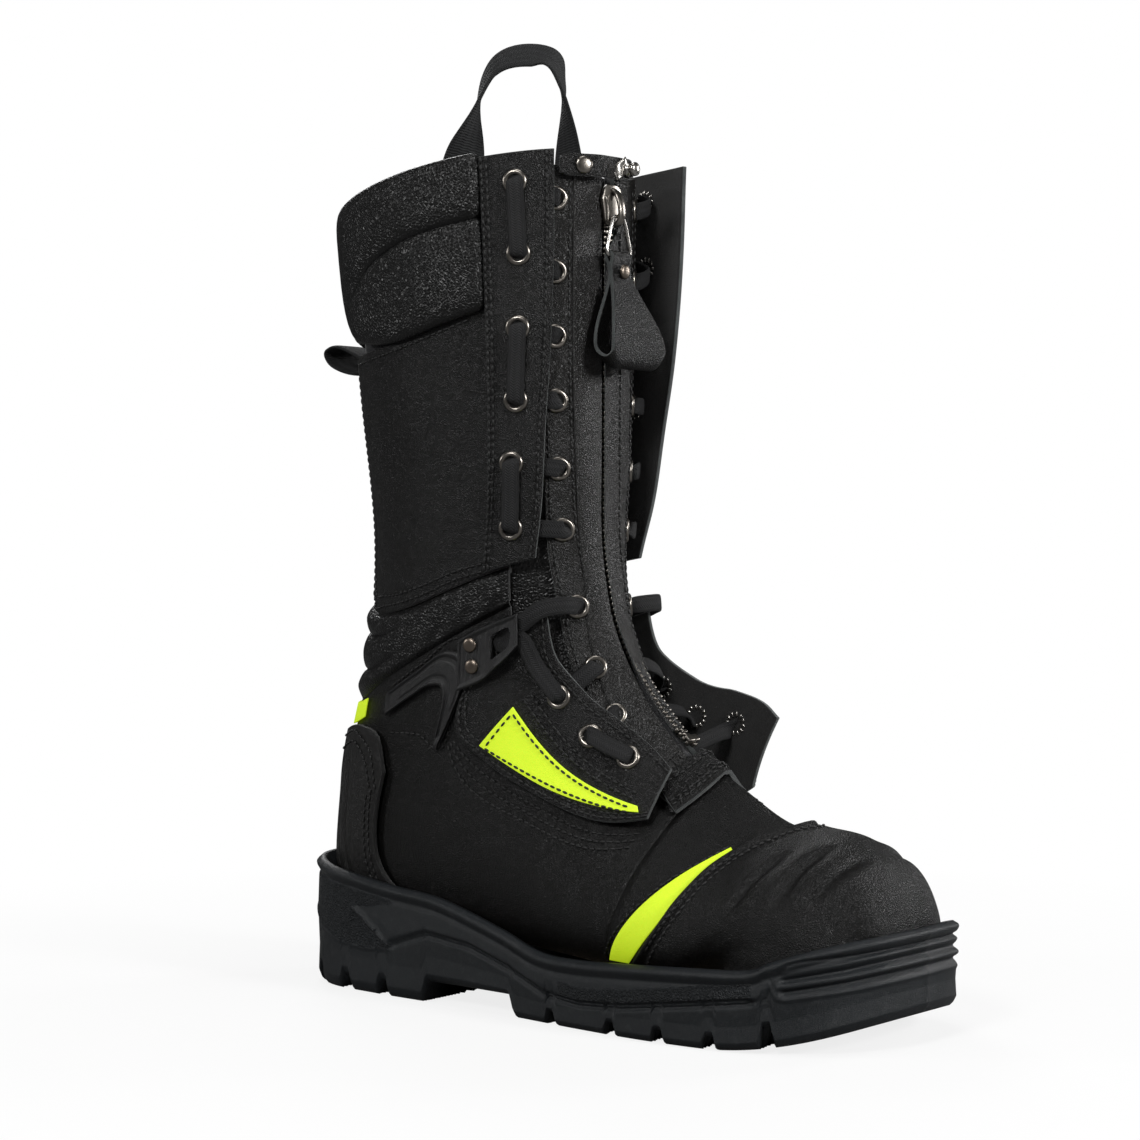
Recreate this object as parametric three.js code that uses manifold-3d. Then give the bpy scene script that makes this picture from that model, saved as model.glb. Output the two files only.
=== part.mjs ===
// Firefighter's leather boot with a laced-in zip panel at the front, right foot.
// Millimetres, +Z up, toe towards -Y, outer (lateral) side towards -X, the sole's underside at z = 0.
import * as THREE from "three";
import { mergeVertices } from "three/addons/utils/BufferGeometryUtils.js";
import Module from "manifold-3d";

const wasm = await Module();
wasm.setup();

// ---- driving dimensions ----
const footLength = 300; // sole, toe to heel
const footWidth = 102; // upper across the ball of the foot
const shaftHeight = 358; // floor to the front of the shaft's top
const ankleHeight = 135; // floor to the bend of the instep: the shaft is stretched above it

const leather = 2.2; // outer leather
const gap = 0.3; // between small pieces that touch
const layerGap = 0.9; // between formed layers that lie on each other
const innerGap = 1.1; // between the outer leather and what lies inside it
const liningThickness = 2.2; // lining of the foot, over its stiffeners
const shaftPadding = 4.2; // padded lining of the shaft
const stiffener = 1.9; // toe cap and heel stiffener walls
const collarBulge = 5; // how far the collar's stuffing stands out
const soleWall = 3; // rubber outside the upper at the rim
const treadDepth = 5; // depth of the tread's grooves
const heelBreast = 60; // y of the heel block's front
const archFront = 6; // y where the forefoot tread begins
const archRise = 8; // clearance under the arch

const eyeletHole = 6.4; // diameter of the lace holes
const laceThickness = 2.6; // lace, as a round cord
const flapLift = { lateral: 4.5, medial: 23 }; // how far each facing's free edge stands off the zip panel
const zipPitch = 2.4; // from tooth to tooth
const toothReach = 3; // from the zip's middle to the back of a tooth
const sliderLength = 17;
const sliderWidth = 14.4;
const sliderTop = 348; // height of the slider's upper end when the zip is closed
const wire = 1.7; // bail wire diameter
const pullLength = 48;
const pullWidth = 36; // at the pull's lower end
const webbing = 25; // width of the carrying loop's webbing
const loopRise = 79; // carrying loop above its seams
const rivetHead = 6.2; // diameter

// ---- the last: rings from the toe, round the heel and instep, to the shaft's top ----
// Each ring lies in a plane across the boot, through a point of the front line and a point of the sole or back line:
// front y, z; back y, z; half width; x of its middle; fullness in front and behind (1 is an ellipse, less is squarer);
// skew (less than 1 puts the widest place low).
const rings = [
  [-148, 30, -74, 18, 48, 5, 0.8, 0.95, 1],
  [-149, 48, -73, 18, 48, 5, 0.8, 0.95, 0.98],
  [-142, 66, -72, 17, 47, 4, 0.8, 0.9, 0.92],
  [-127, 76, -71, 17, 48, 3, 0.82, 0.85, 0.8],
  [-110, 80, -69.5, 17, 50, 2, 0.84, 0.8, 0.65],
  [-94, 84, -66, 17, 51, 1, 0.88, 0.75, 0.57],
  [-76, 95, -55, 17, 51, 0, 0.92, 0.7, 0.52],
  [-52, 110, -22, 17, 49, 0, 0.95, 0.66, 0.5],
  [-28, 135, 42, 20, 44, 0, 0.95, 0.68, 0.6],
  [-13, 158, 126, 28, 41, 0, 0.92, 0.66, 0.9],
  [-7, 178, 134, 84, 40, 0, 0.88, 0.7, 1],
  [-4, 202, 120, 142, 42, 0, 0.84, 0.8, 1],
  [-4, 236, 115, 196, 46, 0, 0.8, 0.9, 1],
  [-4, 296, 122, 262, 51, 0, 0.8, 0.92, 1],
  [-4, 358, 130, 336, 54, 0, 0.8, 0.92, 1],
  [-4, 388, 134, 366, 55, 0, 0.8, 0.92, 1],
];
const lastSize = { length: 300, width: 102, height: 358, ankle: 135 }; // the size that the rings are drawn at

const ease = (a, b, x) => THREE.MathUtils.smoothstep(x, a, b);
const mix = THREE.MathUtils.lerp;
const rad = THREE.MathUtils.degToRad;

// Value of column k at ring v, on a smooth curve through the rings.
function ringValue(k, v) {
  const last = rings.length - 1;
  const i = Math.min(Math.floor(THREE.MathUtils.clamp(v, 0, last)), last - 1);
  const at = (j) =>
    j < 0 ? 2 * rings[0][k] - rings[1][k] : j > last ? 2 * rings[last][k] - rings[last - 1][k] : rings[j][k];
  const t = Math.min(Math.max(v, 0), last) - i;
  const [a, b, c, d] = [at(i - 1), at(i), at(i + 1), at(i + 2)];
  return 0.5 * (2 * b + (c - a) * t + (2 * a - 5 * b + 4 * c - d) * t * t + (3 * b - a - 3 * c + d) * t ** 3);
}

// A drawn point stretched to the driving dimensions.
function stretch(x, y, z) {
  const low = Math.min(z, lastSize.ankle) * (ankleHeight / lastSize.ankle);
  const high = Math.max(z - lastSize.ankle, 0) * ((shaftHeight - ankleHeight) / (lastSize.height - lastSize.ankle));
  return new THREE.Vector3((x * footWidth) / lastSize.width, (y * footLength) / lastSize.length, low + high);
}

// Point of the leather's outer face: u in degrees round from the front (positive on the outer side), v the ring.
function facePoint(u, v) {
  const [frontY, frontZ, backY, backZ, width, middle, front, back, skew] = rings[0].map((_, k) => ringValue(k, v));
  const way = (1 - Math.cos(rad(u))) / 2;
  const down = way ** skew;
  const s = Math.sin(rad(u));
  const across = width * Math.sign(s) * Math.abs(s) ** mix(front, back, way);
  return stretch(middle - across, mix(frontY, backY, down), mix(frontZ, backZ, down));
}

function faceNormal(u, v) {
  const around = facePoint(u + 0.5, v).sub(facePoint(u - 0.5, v));
  const along = facePoint(u, v + 0.02).sub(facePoint(u, v - 0.02));
  return along.cross(around).normalize();
}

// Point at a height above the leather's outer face (negative is inside the boot).
function place(u, v, height = 0) {
  return facePoint(u, v).addScaledVector(faceNormal(u, v), height);
}

// The turn u that lies so many millimetres from the middle of the front, on ring v.
function turnAt(mm, v) {
  const reach = Math.min(Math.abs(mm) / ((ringValue(4, v) * footWidth) / lastSize.width), 1);
  return Math.sign(mm) * THREE.MathUtils.radToDeg(Math.asin(reach ** (1 / ringValue(6, v))));
}

// ---- solids ----
const boot = new THREE.Group();
const looks = {
  leather: { color: 0x17171a, roughness: 0.5, metalness: 0 },
  grained: { color: 0x141416, roughness: 0.6, metalness: 0 },
  lining: { color: 0x2b2b2e, roughness: 0.9, metalness: 0 },
  hiVis: { color: 0xdcff1e, roughness: 0.6, metalness: 0 },
  rubber: { color: 0x14181c, roughness: 0.7, metalness: 0 },
  steel: { color: 0x8d8f92, roughness: 0.4, metalness: 1 },
  darkMetal: { color: 0x4a463f, roughness: 0.3, metalness: 1 },
  plastic: { color: 0x101012, roughness: 0.45, metalness: 0 },
  textile: { color: 0x0f0f11, roughness: 0.95, metalness: 0 },
  board: { color: 0xa08a6a, roughness: 0.9, metalness: 0 },
};

function addPiece(name, geometry, look) {
  const mesh = new THREE.Mesh(geometry, new THREE.MeshStandardMaterial(looks[look]));
  mesh.name = name;
  boot.add(mesh);
}

// Shared vertices merged, faces turned outwards.
function closed(geometry) {
  const bare = geometry.clone();
  for (const name of Object.keys(bare.attributes)) if (name !== "position") bare.deleteAttribute(name);
  const merged = mergeVertices(bare, 1e-3);
  const p = merged.attributes.position;
  const index = merged.index.array;
  const [a, b, c] = [new THREE.Vector3(), new THREE.Vector3(), new THREE.Vector3()];
  let volume = 0;
  const kept = [];
  for (let i = 0; i < index.length; i += 3) {
    const tri = [index[i], index[i + 1], index[i + 2]];
    if (new Set(tri).size < 3) continue;
    kept.push(...tri);
    a.fromBufferAttribute(p, tri[0]);
    b.fromBufferAttribute(p, tri[1]);
    c.fromBufferAttribute(p, tri[2]);
    volume += a.dot(b.cross(c));
  }
  if (volume < 0) for (let i = 0; i < kept.length; i += 3) [kept[i], kept[i + 1]] = [kept[i + 1], kept[i]];
  merged.setIndex(kept);
  return merged;
}

function toSolid(geometry) {
  const mesh = closed(geometry);
  return new wasm.Manifold(
    new wasm.Mesh({
      numProp: 3,
      vertProperties: new Float32Array(mesh.attributes.position.array),
      triVerts: new Uint32Array(mesh.index.array),
    }),
  );
}

function toGeometry(solid) {
  const mesh = solid.getMesh();
  const geometry = new THREE.BufferGeometry();
  geometry.setAttribute("position", new THREE.BufferAttribute(Float32Array.from(mesh.vertProperties), 3));
  geometry.setIndex(new THREE.BufferAttribute(Uint32Array.from(mesh.triVerts), 1));
  return geometry;
}

const cut = (geometry, cutters) =>
  toGeometry(cutters.reduce((solid, cutter) => solid.subtract(toSolid(cutter)), toSolid(geometry)));
const join = (geometries) =>
  toGeometry(geometries.slice(1).reduce((solid, piece) => solid.add(toSolid(piece)), toSolid(geometries[0])));

// A line of straight steps through [u, v] points, read at t from 0 to 1.
function edge(points) {
  return (t) => {
    const at = t * (points.length - 1);
    const i = Math.min(Math.floor(at), points.length - 2);
    const [a, b] = [points[i], points[i + 1]];
    return new THREE.Vector2(mix(a[0], b[0], at - i), mix(a[1], b[1], at - i));
  };
}

// A curve and its mirror image across the back, from the outer side round to the inner side.
const roundBack = (points) => [...points, ...points.slice(0, -1).reverse().map(([u, v]) => [360 - u, v])];

// A panel of the upper between two edges, from one height above the leather's face to another.
// The heights are numbers or functions of u and v.
function panel(edgeA, edgeB, across, along, inner, outer) {
  const geometry = new THREE.BoxGeometry(1, 1, 1, across, along, 1);
  const p = geometry.attributes.position;
  const [a, b] = [edge(edgeA), edge(edgeB)];
  const height = (h, u, v) => (typeof h === "function" ? h(u, v) : h);
  for (let i = 0; i < p.count; i++) {
    const t = p.getY(i) + 0.5;
    const at = a(t).lerp(b(t), p.getX(i) + 0.5);
    const point = place(at.x, at.y, height(p.getZ(i) > 0 ? outer : inner, at.x, at.y));
    p.setXYZ(i, point.x, point.y, point.z);
  }
  return closed(geometry);
}

// A round pin or hole through the upper at [u, v], between two heights.
function pin(u, v, from, to, diameter, sides = 8) {
  const [a, b] = [place(u, v, from), place(u, v, to)];
  const geometry = new THREE.CylinderGeometry(diameter / 2, diameter / 2, a.distanceTo(b), sides);
  geometry.applyQuaternion(
    new THREE.Quaternion().setFromUnitVectors(new THREE.Vector3(0, 1, 0), b.clone().sub(a).normalize()),
  );
  const middle = a.add(b).multiplyScalar(0.5);
  return geometry.translate(middle.x, middle.y, middle.z);
}

const sides = [
  ["lateral", 1],
  ["medial", -1],
];
const onSide = (points, side) => points.map(([u, v]) => [u * side, v]);

// ---- the upper's base leather ----
const featherTurn = 128; // how far round the foot's leather reaches, under the sole's rim
const throat = 6.62; // ring where the vamp ends and the zip panel begins
const straight = (u, from, to) => [[u, from], [u, (from + to) / 2], [u, to]];

addPiece(
  "vamp",
  panel(straight(-featherTurn, 0, throat), straight(featherTurn, 0, throat), 18, 12, -leather, 0),
  "leather",
);

const quarterFront = [
  [31, 6.68], [38, 7.35], [44, 7.9], [48, 8.4], [51, 8.8], [53, 9.15], [54, 9.5], [54, 9.85], [54, 10.12], [54, 10.36],
];
const quarterBack = [
  [128, 6.68], [130, 7.4], [137, 8.12], [147, 8.5], [158, 8.8], [168, 9.02], [179.3, 9.22], [179.3, 9.6], [179.3, 10.1],
  [179.3, 10.74],
];
for (const [name, side] of sides)
  addPiece(
    "lower_quarter_" + name,
    panel(onSide(quarterFront, side), onSide(quarterBack, side), 10, 18, -leather, 0),
    "leather",
  );

const bellowsBottom = roundBack([[54, 10.44], [76, 10.5], [100, 10.58], [130, 10.68], [156, 10.78], [180, 10.84]]);
const bellowsTop = roundBack([[54, 10.84], [76, 10.92], [100, 11], [130, 11.18], [156, 11.42], [180, 11.56]]);
addPiece("ankle_bellows", panel(bellowsBottom, bellowsTop, 2, 20, -leather, 2.2), "grained");

const stripEdgeTurn = 149.5; // where the shaft quarters meet the back strip
for (const [name, side] of sides)
  addPiece(
    "shaft_quarter_" + name,
    panel(
      onSide([[54, 10.9], [76, 10.99], [100, 11.07], [125, 11.22], [stripEdgeTurn, 11.44]], side),
      onSide([[54, 13.12], [76, 13.1], [100, 13.1], [125, 13.14], [stripEdgeTurn, 13.2]], side),
      6,
      8,
      -leather,
      0,
    ),
    "leather",
  );
addPiece(
  "back_strip",
  panel([[150, 11.45], [180, 11.62], [210, 11.45]], [[150, 13.2], [180, 13.23], [210, 13.2]], 4, 4, -leather, 0),
  "leather",
);

// ---- collar pads ----
const collarFront = 58.5;
const collarSeam = [[collarFront, 13.64], [91, 13.63], [108, 13.58], [124, 13.48], [150, 13.34], [180, 13.27]];
const collarTop = [[collarFront, 14.16], [91, 14.14], [108, 14.12], [124, 14.1], [150, 14.06], [180, 14.04]];
addPiece(
  "collar_pad_upper",
  panel(roundBack(collarSeam), roundBack(collarTop), 3, 22, -leather, collarBulge),
  "grained",
);
for (const [name, side] of sides)
  addPiece(
    "collar_pad_lower_" + name,
    panel(
      onSide([[collarFront, 13.15], [76, 13.14], [97, 13.13], [130, 13.22]], side),
      onSide([[collarFront, 13.61], [91, 13.6], [108, 13.55], [130, 13.4]], side),
      3,
      9,
      -leather,
      collarBulge - 1,
    ),
    "grained",
  );

// ---- lining and stiffeners ----
const innerFace = -leather - innerGap;
const footLiningFace = innerFace - stiffener - layerGap;
addPiece(
  "lining_vamp",
  panel(
    straight(-featherTurn + 4, 0.16, throat),
    straight(featherTurn - 4, 0.16, throat),
    16,
    8,
    footLiningFace - liningThickness - 0.4,
    footLiningFace - 0.4,
  ),
  "lining",
);
addPiece(
  "lining_foot",
  panel(
    roundBack([[122, 6.76], [124, 7.4], [131, 8.1], [141, 8.45], [153, 8.74], [165, 8.98], [180, 9.24]]),
    roundBack([[40, 6.76], [48, 8], [53, 8.8], [56, 9.6], [60, 10.5], [110, 10.56], [180, 10.68]]),
    5,
    24,
    footLiningFace - liningThickness,
    footLiningFace,
  ),
  "lining",
);
addPiece(
  "lining_shaft",
  panel(
    roundBack([[56, 10.8], [80, 10.84], [120, 10.9], [150, 10.98], [180, 11.04]]),
    roundBack([[56, 13.9], [80, 13.96], [120, 13.98], [150, 13.98], [180, 13.98]]),
    6,
    20,
    innerFace - shaftPadding,
    innerFace,
  ),
  "lining",
);
addPiece(
  "safety_toe_cap",
  panel(straight(-112, 0.12, 4.4), straight(112, 0.12, 4.4), 16, 5, innerFace - stiffener, innerFace),
  "steel",
);
addPiece(
  "heel_stiffener",
  panel(
    roundBack([[122, 8.2], [136, 8.5], [150, 8.78], [165, 9.02], [180, 9.22]]),
    roundBack([[110, 9.7], [124, 9.95], [140, 10.1], [160, 10.2], [180, 10.26]]),
    4,
    16,
    innerFace - stiffener,
    innerFace,
  ),
  "plastic",
);
const tongueFace = innerFace - shaftPadding - 2 * layerGap;
addPiece(
  "tongue",
  panel(
    [[-44, 7.06], [-52, 8], [-58, 9], [-62, 10], [-64, 11], [-64, 13.9]],
    [[44, 7.06], [52, 8], [58, 9], [62, 10], [64, 11], [64, 13.9]],
    10,
    10,
    tongueFace - leather,
    tongueFace,
  ),
  "leather",
);

// ---- overlays of the foot ----
const overlay = [layerGap, layerGap + leather];
// The scuff cap's rear edge, from the top of the toe down to the sole: turn and ring.
const capEdge = [[0, 4.3], [8, 4.56], [20, 5.02], [40, 5.34], [79, 5.62], [105, 6.02], [120, 6.25]];
function capRear(u) {
  const i = Math.max(capEdge.findIndex(([turn]) => turn >= Math.abs(u)), 1);
  const [[turn0, ring0], [turn1, ring1]] = [capEdge[i - 1], capEdge[i]];
  return mix(ring0, ring1, (Math.abs(u) - turn0) / (turn1 - turn0));
}
addPiece(
  "toe_scuff_cap",
  (() => {
    const geometry = new THREE.BoxGeometry(1, 1, 1, 18, 9, 1);
    const p = geometry.attributes.position;
    for (let i = 0; i < p.count; i++) {
      const u = p.getX(i) * 2 * (featherTurn - 8);
      const v = 0.1 + (p.getY(i) + 0.5) * (capRear(u) - 0.1);
      const point = place(u, v, p.getZ(i) > 0 ? overlay[1] : overlay[0]);
      p.setXYZ(i, point.x, point.y, point.z);
    }
    return closed(geometry);
  })(),
  "leather",
);
for (const [name, side] of sides)
  addPiece(
    "hivis_crescent_" + name,
    panel(
      [26, 50, 74, 98, 118].map((u) => [u * side, capRear(u) + 0.07]),
      [[25, 5.3], [50, 5.86], [74, 6.25], [98, 6.5], [118, 6.62]].map(([u, v]) => [
        u * side,
        Math.max(v, capRear(u) + 0.12),
      ]),
      2,
      8,
      layerGap,
      layerGap + 0.6,
    ),
    "hiVis",
  );
addPiece(
  "heel_counter_cover",
  panel(
    roundBack([[124, 8.62], [137, 8.78], [150, 8.94], [165, 9.1], [180, 9.22]]),
    roundBack([[108, 9.6], [114, 10], [126, 10.24], [150, 10.4], [180, 10.48]]),
    5,
    16,
    overlay[0] + 0.4,
    overlay[1] + 0.4,
  ),
  "leather",
);
addPiece(
  "hivis_heel_strip",
  panel(roundBack([[128, 10.34], [180, 10.54]]), roundBack([[128, 10.5], [180, 10.72]]), 1, 12, layerGap, layerGap + 0.6),
  "hiVis",
);
for (const [name, side] of sides)
  addPiece(
    "ankle_protector_" + name,
    panel(
      onSide([[108, 10.36], [94, 10.32], [77, 10.26]], side),
      onSide([[105, 10.08], [92, 9.86], [83, 9.36]], side),
      2,
      4,
      layerGap,
      layerGap + 2.4,
    ),
    "plastic",
  );

// ---- facings: the laced flaps beside the zip panel ----
// A flap stands off the zip panel more and more towards its free edge.
const flapRoot = 55;
const lift = (name) => (u) => flapLift[name] * (Math.max(flapRoot - Math.abs(u), 0) / 30) ** 1.6;
const facingHoles = [
  [43.5, 13.84], [43, 13.38], [44.5, 12.92], [47, 12.46], [50.5, 12.02], [52, 11.36],
];
const lowerFacingHoles = [[36, 8.66], [29.5, 8.04], [22.5, 7.52]];
const stripHoles = [
  [25.5, 13.7], [26.5, 13.24], [27.5, 12.82], [28, 12.4], [28, 11.86], [27, 11.1], [23.5, 9.8], [20, 8.7],
  [18, 8.06], [17, 7.5],
];
const holes = (points, side, from, to) => points.map(([u, v]) => pin(u * side, v, from(u), to(u), eyeletHole));
for (const [name, side] of sides) {
  const rise = lift(name);
  const inside = (u) => rise(u) + layerGap;
  const outside = (u) => rise(u) + layerGap + leather;
  const through = (points) => holes(points, side, (u) => inside(u) - 4, (u) => outside(u) + 4);
  addPiece(
    "upper_facing_" + name,
    cut(
      panel(
        onSide([[28, 14.22], [29, 13.36], [31.5, 12.72], [35, 12.2], [38, 11.5], [41.5, 10.86]], side),
        onSide([[57.5, 14.22], [57.5, 13.36], [58.5, 12.72], [60.5, 12.2], [63, 11.5], [65, 10.98]], side),
        4,
        8,
        inside,
        outside,
      ),
      through(facingHoles),
    ),
    "leather",
  );
  addPiece(
    "lower_facing_" + name,
    cut(
      panel(
        onSide([[13, 7.3], [17.5, 7.84], [26, 8.46], [35, 9.2], [38, 9.92]], side),
        onSide([[34, 6.95], [46, 7.4], [56, 8.05], [67, 8.75], [75, 9.4], [62, 10.1]], side),
        5,
        8,
        inside,
        outside,
      ),
      through(lowerFacingHoles),
    ),
    "grained",
  );
  addPiece(
    "hivis_triangle_" + name,
    panel(
      onSide([[51, 8.78], [43, 7.95], [35.5, 7.16]], side),
      onSide([[64, 8.7], [51, 7.9], [37.5, 7.1]], side),
      2,
      6,
      (u) => outside(u) + layerGap,
      (u) => outside(u) + layerGap + 0.6,
    ),
    "hiVis",
  );
}

// ---- zip panel ----
const stripEdge = [[21, 6.7], [22.5, 7.4], [26, 8.2], [30, 9], [33, 10], [35.5, 11], [35.5, 12.5], [35.5, 13.95]];
const fromMiddle = (mm, from, to, count) =>
  Array.from({ length: count }, (_, i) => {
    const v = mix(from, to, i / (count - 1));
    return [turnAt(mm, v), v];
  });
const tapeFace = -leather - layerGap;
for (const [name, side] of sides) {
  addPiece(
    "zip_strip_" + name,
    cut(
      panel(onSide(fromMiddle(toothReach + 1.2, 6.72, 13.95, 8), side), onSide(stripEdge, side), 3, 14, -leather, 0),
      holes(stripHoles, side, () => -5, () => 4),
    ),
    "leather",
  );
  addPiece(
    "zip_tape_" + name,
    panel(
      fromMiddle(2.6 * side, 6.85, 13.9, 8),
      fromMiddle(8.5 * side, 6.85, 13.9, 8),
      1,
      14,
      tapeFace - 0.9,
      tapeFace,
    ),
    "textile",
  );
}

// Point beside the zip's middle line, flat across it.
function overZip(mm, v, height) {
  const point = place(0, v, height);
  point.x -= mm;
  return point;
}

// A row of teeth: a cord along the tape's edge with a head for each tooth.
const toothTop = 0.7; // height of the teeth over the leather's face
const toothDepth = 2.6;
const zipBottom = 7.12;
const zipTop = 13.8;
function teeth(side) {
  const length = place(0, zipTop).distanceTo(place(0, 10)) + place(0, 10).distanceTo(place(0, zipBottom));
  const steps = 2 * Math.round(length / zipPitch / 3);
  const geometry = new THREE.BoxGeometry(1, 1, 1, 1, steps, 1);
  const p = geometry.attributes.position;
  for (let i = 0; i < p.count; i++) {
    const row = Math.round((p.getY(i) + 0.5) * steps);
    const v = mix(zipBottom, zipTop, row / steps);
    const head = row % 2 === (side > 0 ? 0 : 1);
    const mm = p.getX(i) < 0 ? (head ? 0.2 : 0.9) : toothReach;
    const point = overZip(mm * side, v, p.getZ(i) > 0 ? toothTop : toothTop - toothDepth);
    p.setXYZ(i, point.x, point.y, point.z);
  }
  return closed(geometry);
}
for (const [name, side] of sides) addPiece("zip_teeth_" + name, teeth(side), "darkMetal");

addPiece(
  "zip_base_band",
  panel(
    [[-27, 6.62], [0, 6.45], [24, 6.62]],
    [[-23, 7.22], [0, 6.98], [19, 7.18]],
    3,
    10,
    (u) => layerGap + 6 * (Math.max(-u, 0) / 27) ** 2,
    (u) => layerGap + leather + 6 * (Math.max(-u, 0) / 27) ** 2,
  ),
  "leather",
);
function bottomStop() {
  const geometry = new THREE.BoxGeometry(1, 1, 1);
  const p = geometry.attributes.position;
  for (let i = 0; i < p.count; i++) {
    const point = overZip(p.getX(i) * 9, zipBottom + 0.07 + p.getY(i) * 0.1, toothTop + gap + 0.8 + p.getZ(i) * 1.6);
    p.setXYZ(i, point.x, point.y, point.z);
  }
  return closed(geometry);
}
addPiece("zip_bottom_stop", bottomStop(), "darkMetal");

// ---- zip slider, bail and leather pull ----
const zipFace = facePoint(0, 13.5).y; // y of the zip panel's face on the straight shin
const teethFace = zipFace - toothTop;
const plateBack = teethFace - 0.5;
const plateFront = plateBack - 2.2;
const bailHeight = sliderTop - sliderLength + 3.4; // z of the bail's upper bar
const bailY = plateFront - 2.2;
const boxBetween = (x0, x1, y0, y1, z0, z1) =>
  new THREE.BoxGeometry(x1 - x0, y1 - y0, z1 - z0).translate((x0 + x1) / 2, (y0 + y1) / 2, (z0 + z1) / 2);

function sliderBody() {
  const half = sliderWidth / 2;
  const plate = new THREE.Shape();
  plate.moveTo(-half, sliderLength * 0.62);
  plate.lineTo(-half * 0.72, 0);
  plate.lineTo(half * 0.72, 0);
  plate.lineTo(half, sliderLength * 0.62);
  plate.lineTo(half * 0.62, sliderLength);
  plate.lineTo(-half * 0.62, sliderLength);
  const front = new THREE.ExtrudeGeometry(plate, { depth: plateBack - plateFront, bevelEnabled: false });
  front.rotateX(Math.PI / 2).translate(0, plateBack, sliderTop - sliderLength);
  const flange = (side) => {
    const inner = toothReach + 0.5;
    const [a, b] = side > 0 ? [inner, half * 0.7] : [-half * 0.7, -inner];
    return boxBetween(a, b, plateBack - 0.4, zipFace - 0.4, sliderTop - sliderLength + 1, sliderTop - 5);
  };
  const bridge = boxBetween(-2, 2, bailY - 2.1, plateFront + 0.4, bailHeight - 2.4, sliderTop - 3);
  const eye = new THREE.CylinderGeometry(wire / 2 + 0.35, wire / 2 + 0.35, 10, 12);
  eye.rotateZ(Math.PI / 2).translate(0, bailY, bailHeight);
  return cut(join([front, flange(1), flange(-1), bridge]), [eye]);
}
addPiece("zip_slider", sliderBody(), "darkMetal");

// A closed wire loop that hangs from z = 0 in the plane y = 0, narrower at its upper bar.
function wireLoop(topWidth, bottomWidth, drop, thickness) {
  const geometry = new THREE.TorusGeometry(1, 0.2, 8, 28);
  const p = geometry.attributes.position;
  for (let i = 0; i < p.count; i++) {
    const turn = Math.atan2(p.getY(i), p.getX(i));
    const out = Math.hypot(p.getX(i), p.getY(i)) - 1;
    const [c, s] = [Math.cos(turn), Math.sin(turn)];
    const cx = Math.sign(c) * Math.abs(c) ** 0.35;
    const cz = Math.sign(s) * Math.abs(s) ** 0.35;
    const half = mix(bottomWidth, topWidth, (cz + 1) / 2) / 2;
    const grow = (out / 0.2) * (thickness / 2);
    p.setXYZ(i, cx * (half + grow), (p.getZ(i) / 0.2) * (thickness / 2), -drop / 2 + cz * (drop / 2 + grow));
  }
  return closed(geometry);
}
const bailDrop = 17;
addPiece("zip_bail", wireLoop(7.4, 18, bailDrop, wire).translate(0, bailY, bailHeight), "darkMetal");

// The pull: a strip of leather folded round the bail's lower bar, riveted under it, and open below as a drop.
const pullSkin = 1.8;
const pullCentre = 3; // the pull's lower end sits off the middle
const pullAxis = bailHeight - bailDrop; // z of the bail's lower bar
const grip = wire / 2 + 0.8; // inner radius of the fold
const pullOutline = [
  [0, grip], [0.7 * grip, 0.7 * grip], [grip, 0], [0.75 * grip, -1.7], [0.3, -4], [0.3, -9], [2, -17], [4, -27],
  [4.8, -36], [3.6, -pullLength + 4], [0, -pullLength + 1],
];
function leatherPull() {
  const ring = [...pullOutline, ...pullOutline.slice(1, -1).reverse().map(([y, z]) => [-y, z])];
  const geometry = new THREE.LatheGeometry(
    [[1, 0], [2, 0], [2, 0.5], [2, 1], [1, 1], [1, 0.5], [1, 0]].map(([r, h]) => new THREE.Vector2(r, h)),
    ring.length,
  );
  const p = geometry.attributes.position;
  for (let i = 0; i < p.count; i++) {
    const turn = (Math.atan2(p.getX(i), p.getZ(i)) / (2 * Math.PI) + 1) % 1;
    const k = Math.round(turn * ring.length) % ring.length;
    const [before, here, after] = [-1, 0, 1].map((step) => ring[(k + step + ring.length) % ring.length]);
    const slope = new THREE.Vector2(after[0] - before[0], after[1] - before[1]).normalize();
    const skin = Math.hypot(p.getX(i), p.getZ(i)) > 1.5 ? pullSkin : 0;
    const y = here[0] - slope.y * skin;
    const z = here[1] + slope.x * skin;
    const down = THREE.MathUtils.clamp(-here[1] / pullLength, 0, 1);
    const width = mix(6.6, pullWidth / 2, ease(0.1, 0.85, down));
    p.setXYZ(
      i,
      (p.getY(i) * 2 - 1) * width + pullCentre * ease(0.1, 0.9, down),
      bailY - 5 * down - y,
      pullAxis + z,
    );
  }
  return closed(geometry);
}
addPiece("zip_pull", leatherPull(), "leather");
addPiece(
  "pull_rivet",
  new THREE.CylinderGeometry(rivetHead / 2, rivetHead / 2, 1.3, 12).translate(0, bailY - 1.4 - pullSkin - gap - 0.65, pullAxis - 6.5),
  "darkMetal",
);

// ---- snap strap across the top of the zip ----
const snapHeight = sliderTop + 6.4;
const strapHalf = 4.6;
const strapSkin = 1.8;
const strapRoute = new THREE.CatmullRomCurve3(
  [
    place(24.5, 13.94, 2.4).setZ(0), place(21, 13.94, 3.4).setZ(0), new THREE.Vector3(-15, zipFace - 5.2, 0),
    new THREE.Vector3(-8, zipFace - 6.4, 0), new THREE.Vector3(1, zipFace - 7, 0), new THREE.Vector3(8, zipFace - 7, 0),
  ],
);
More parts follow.
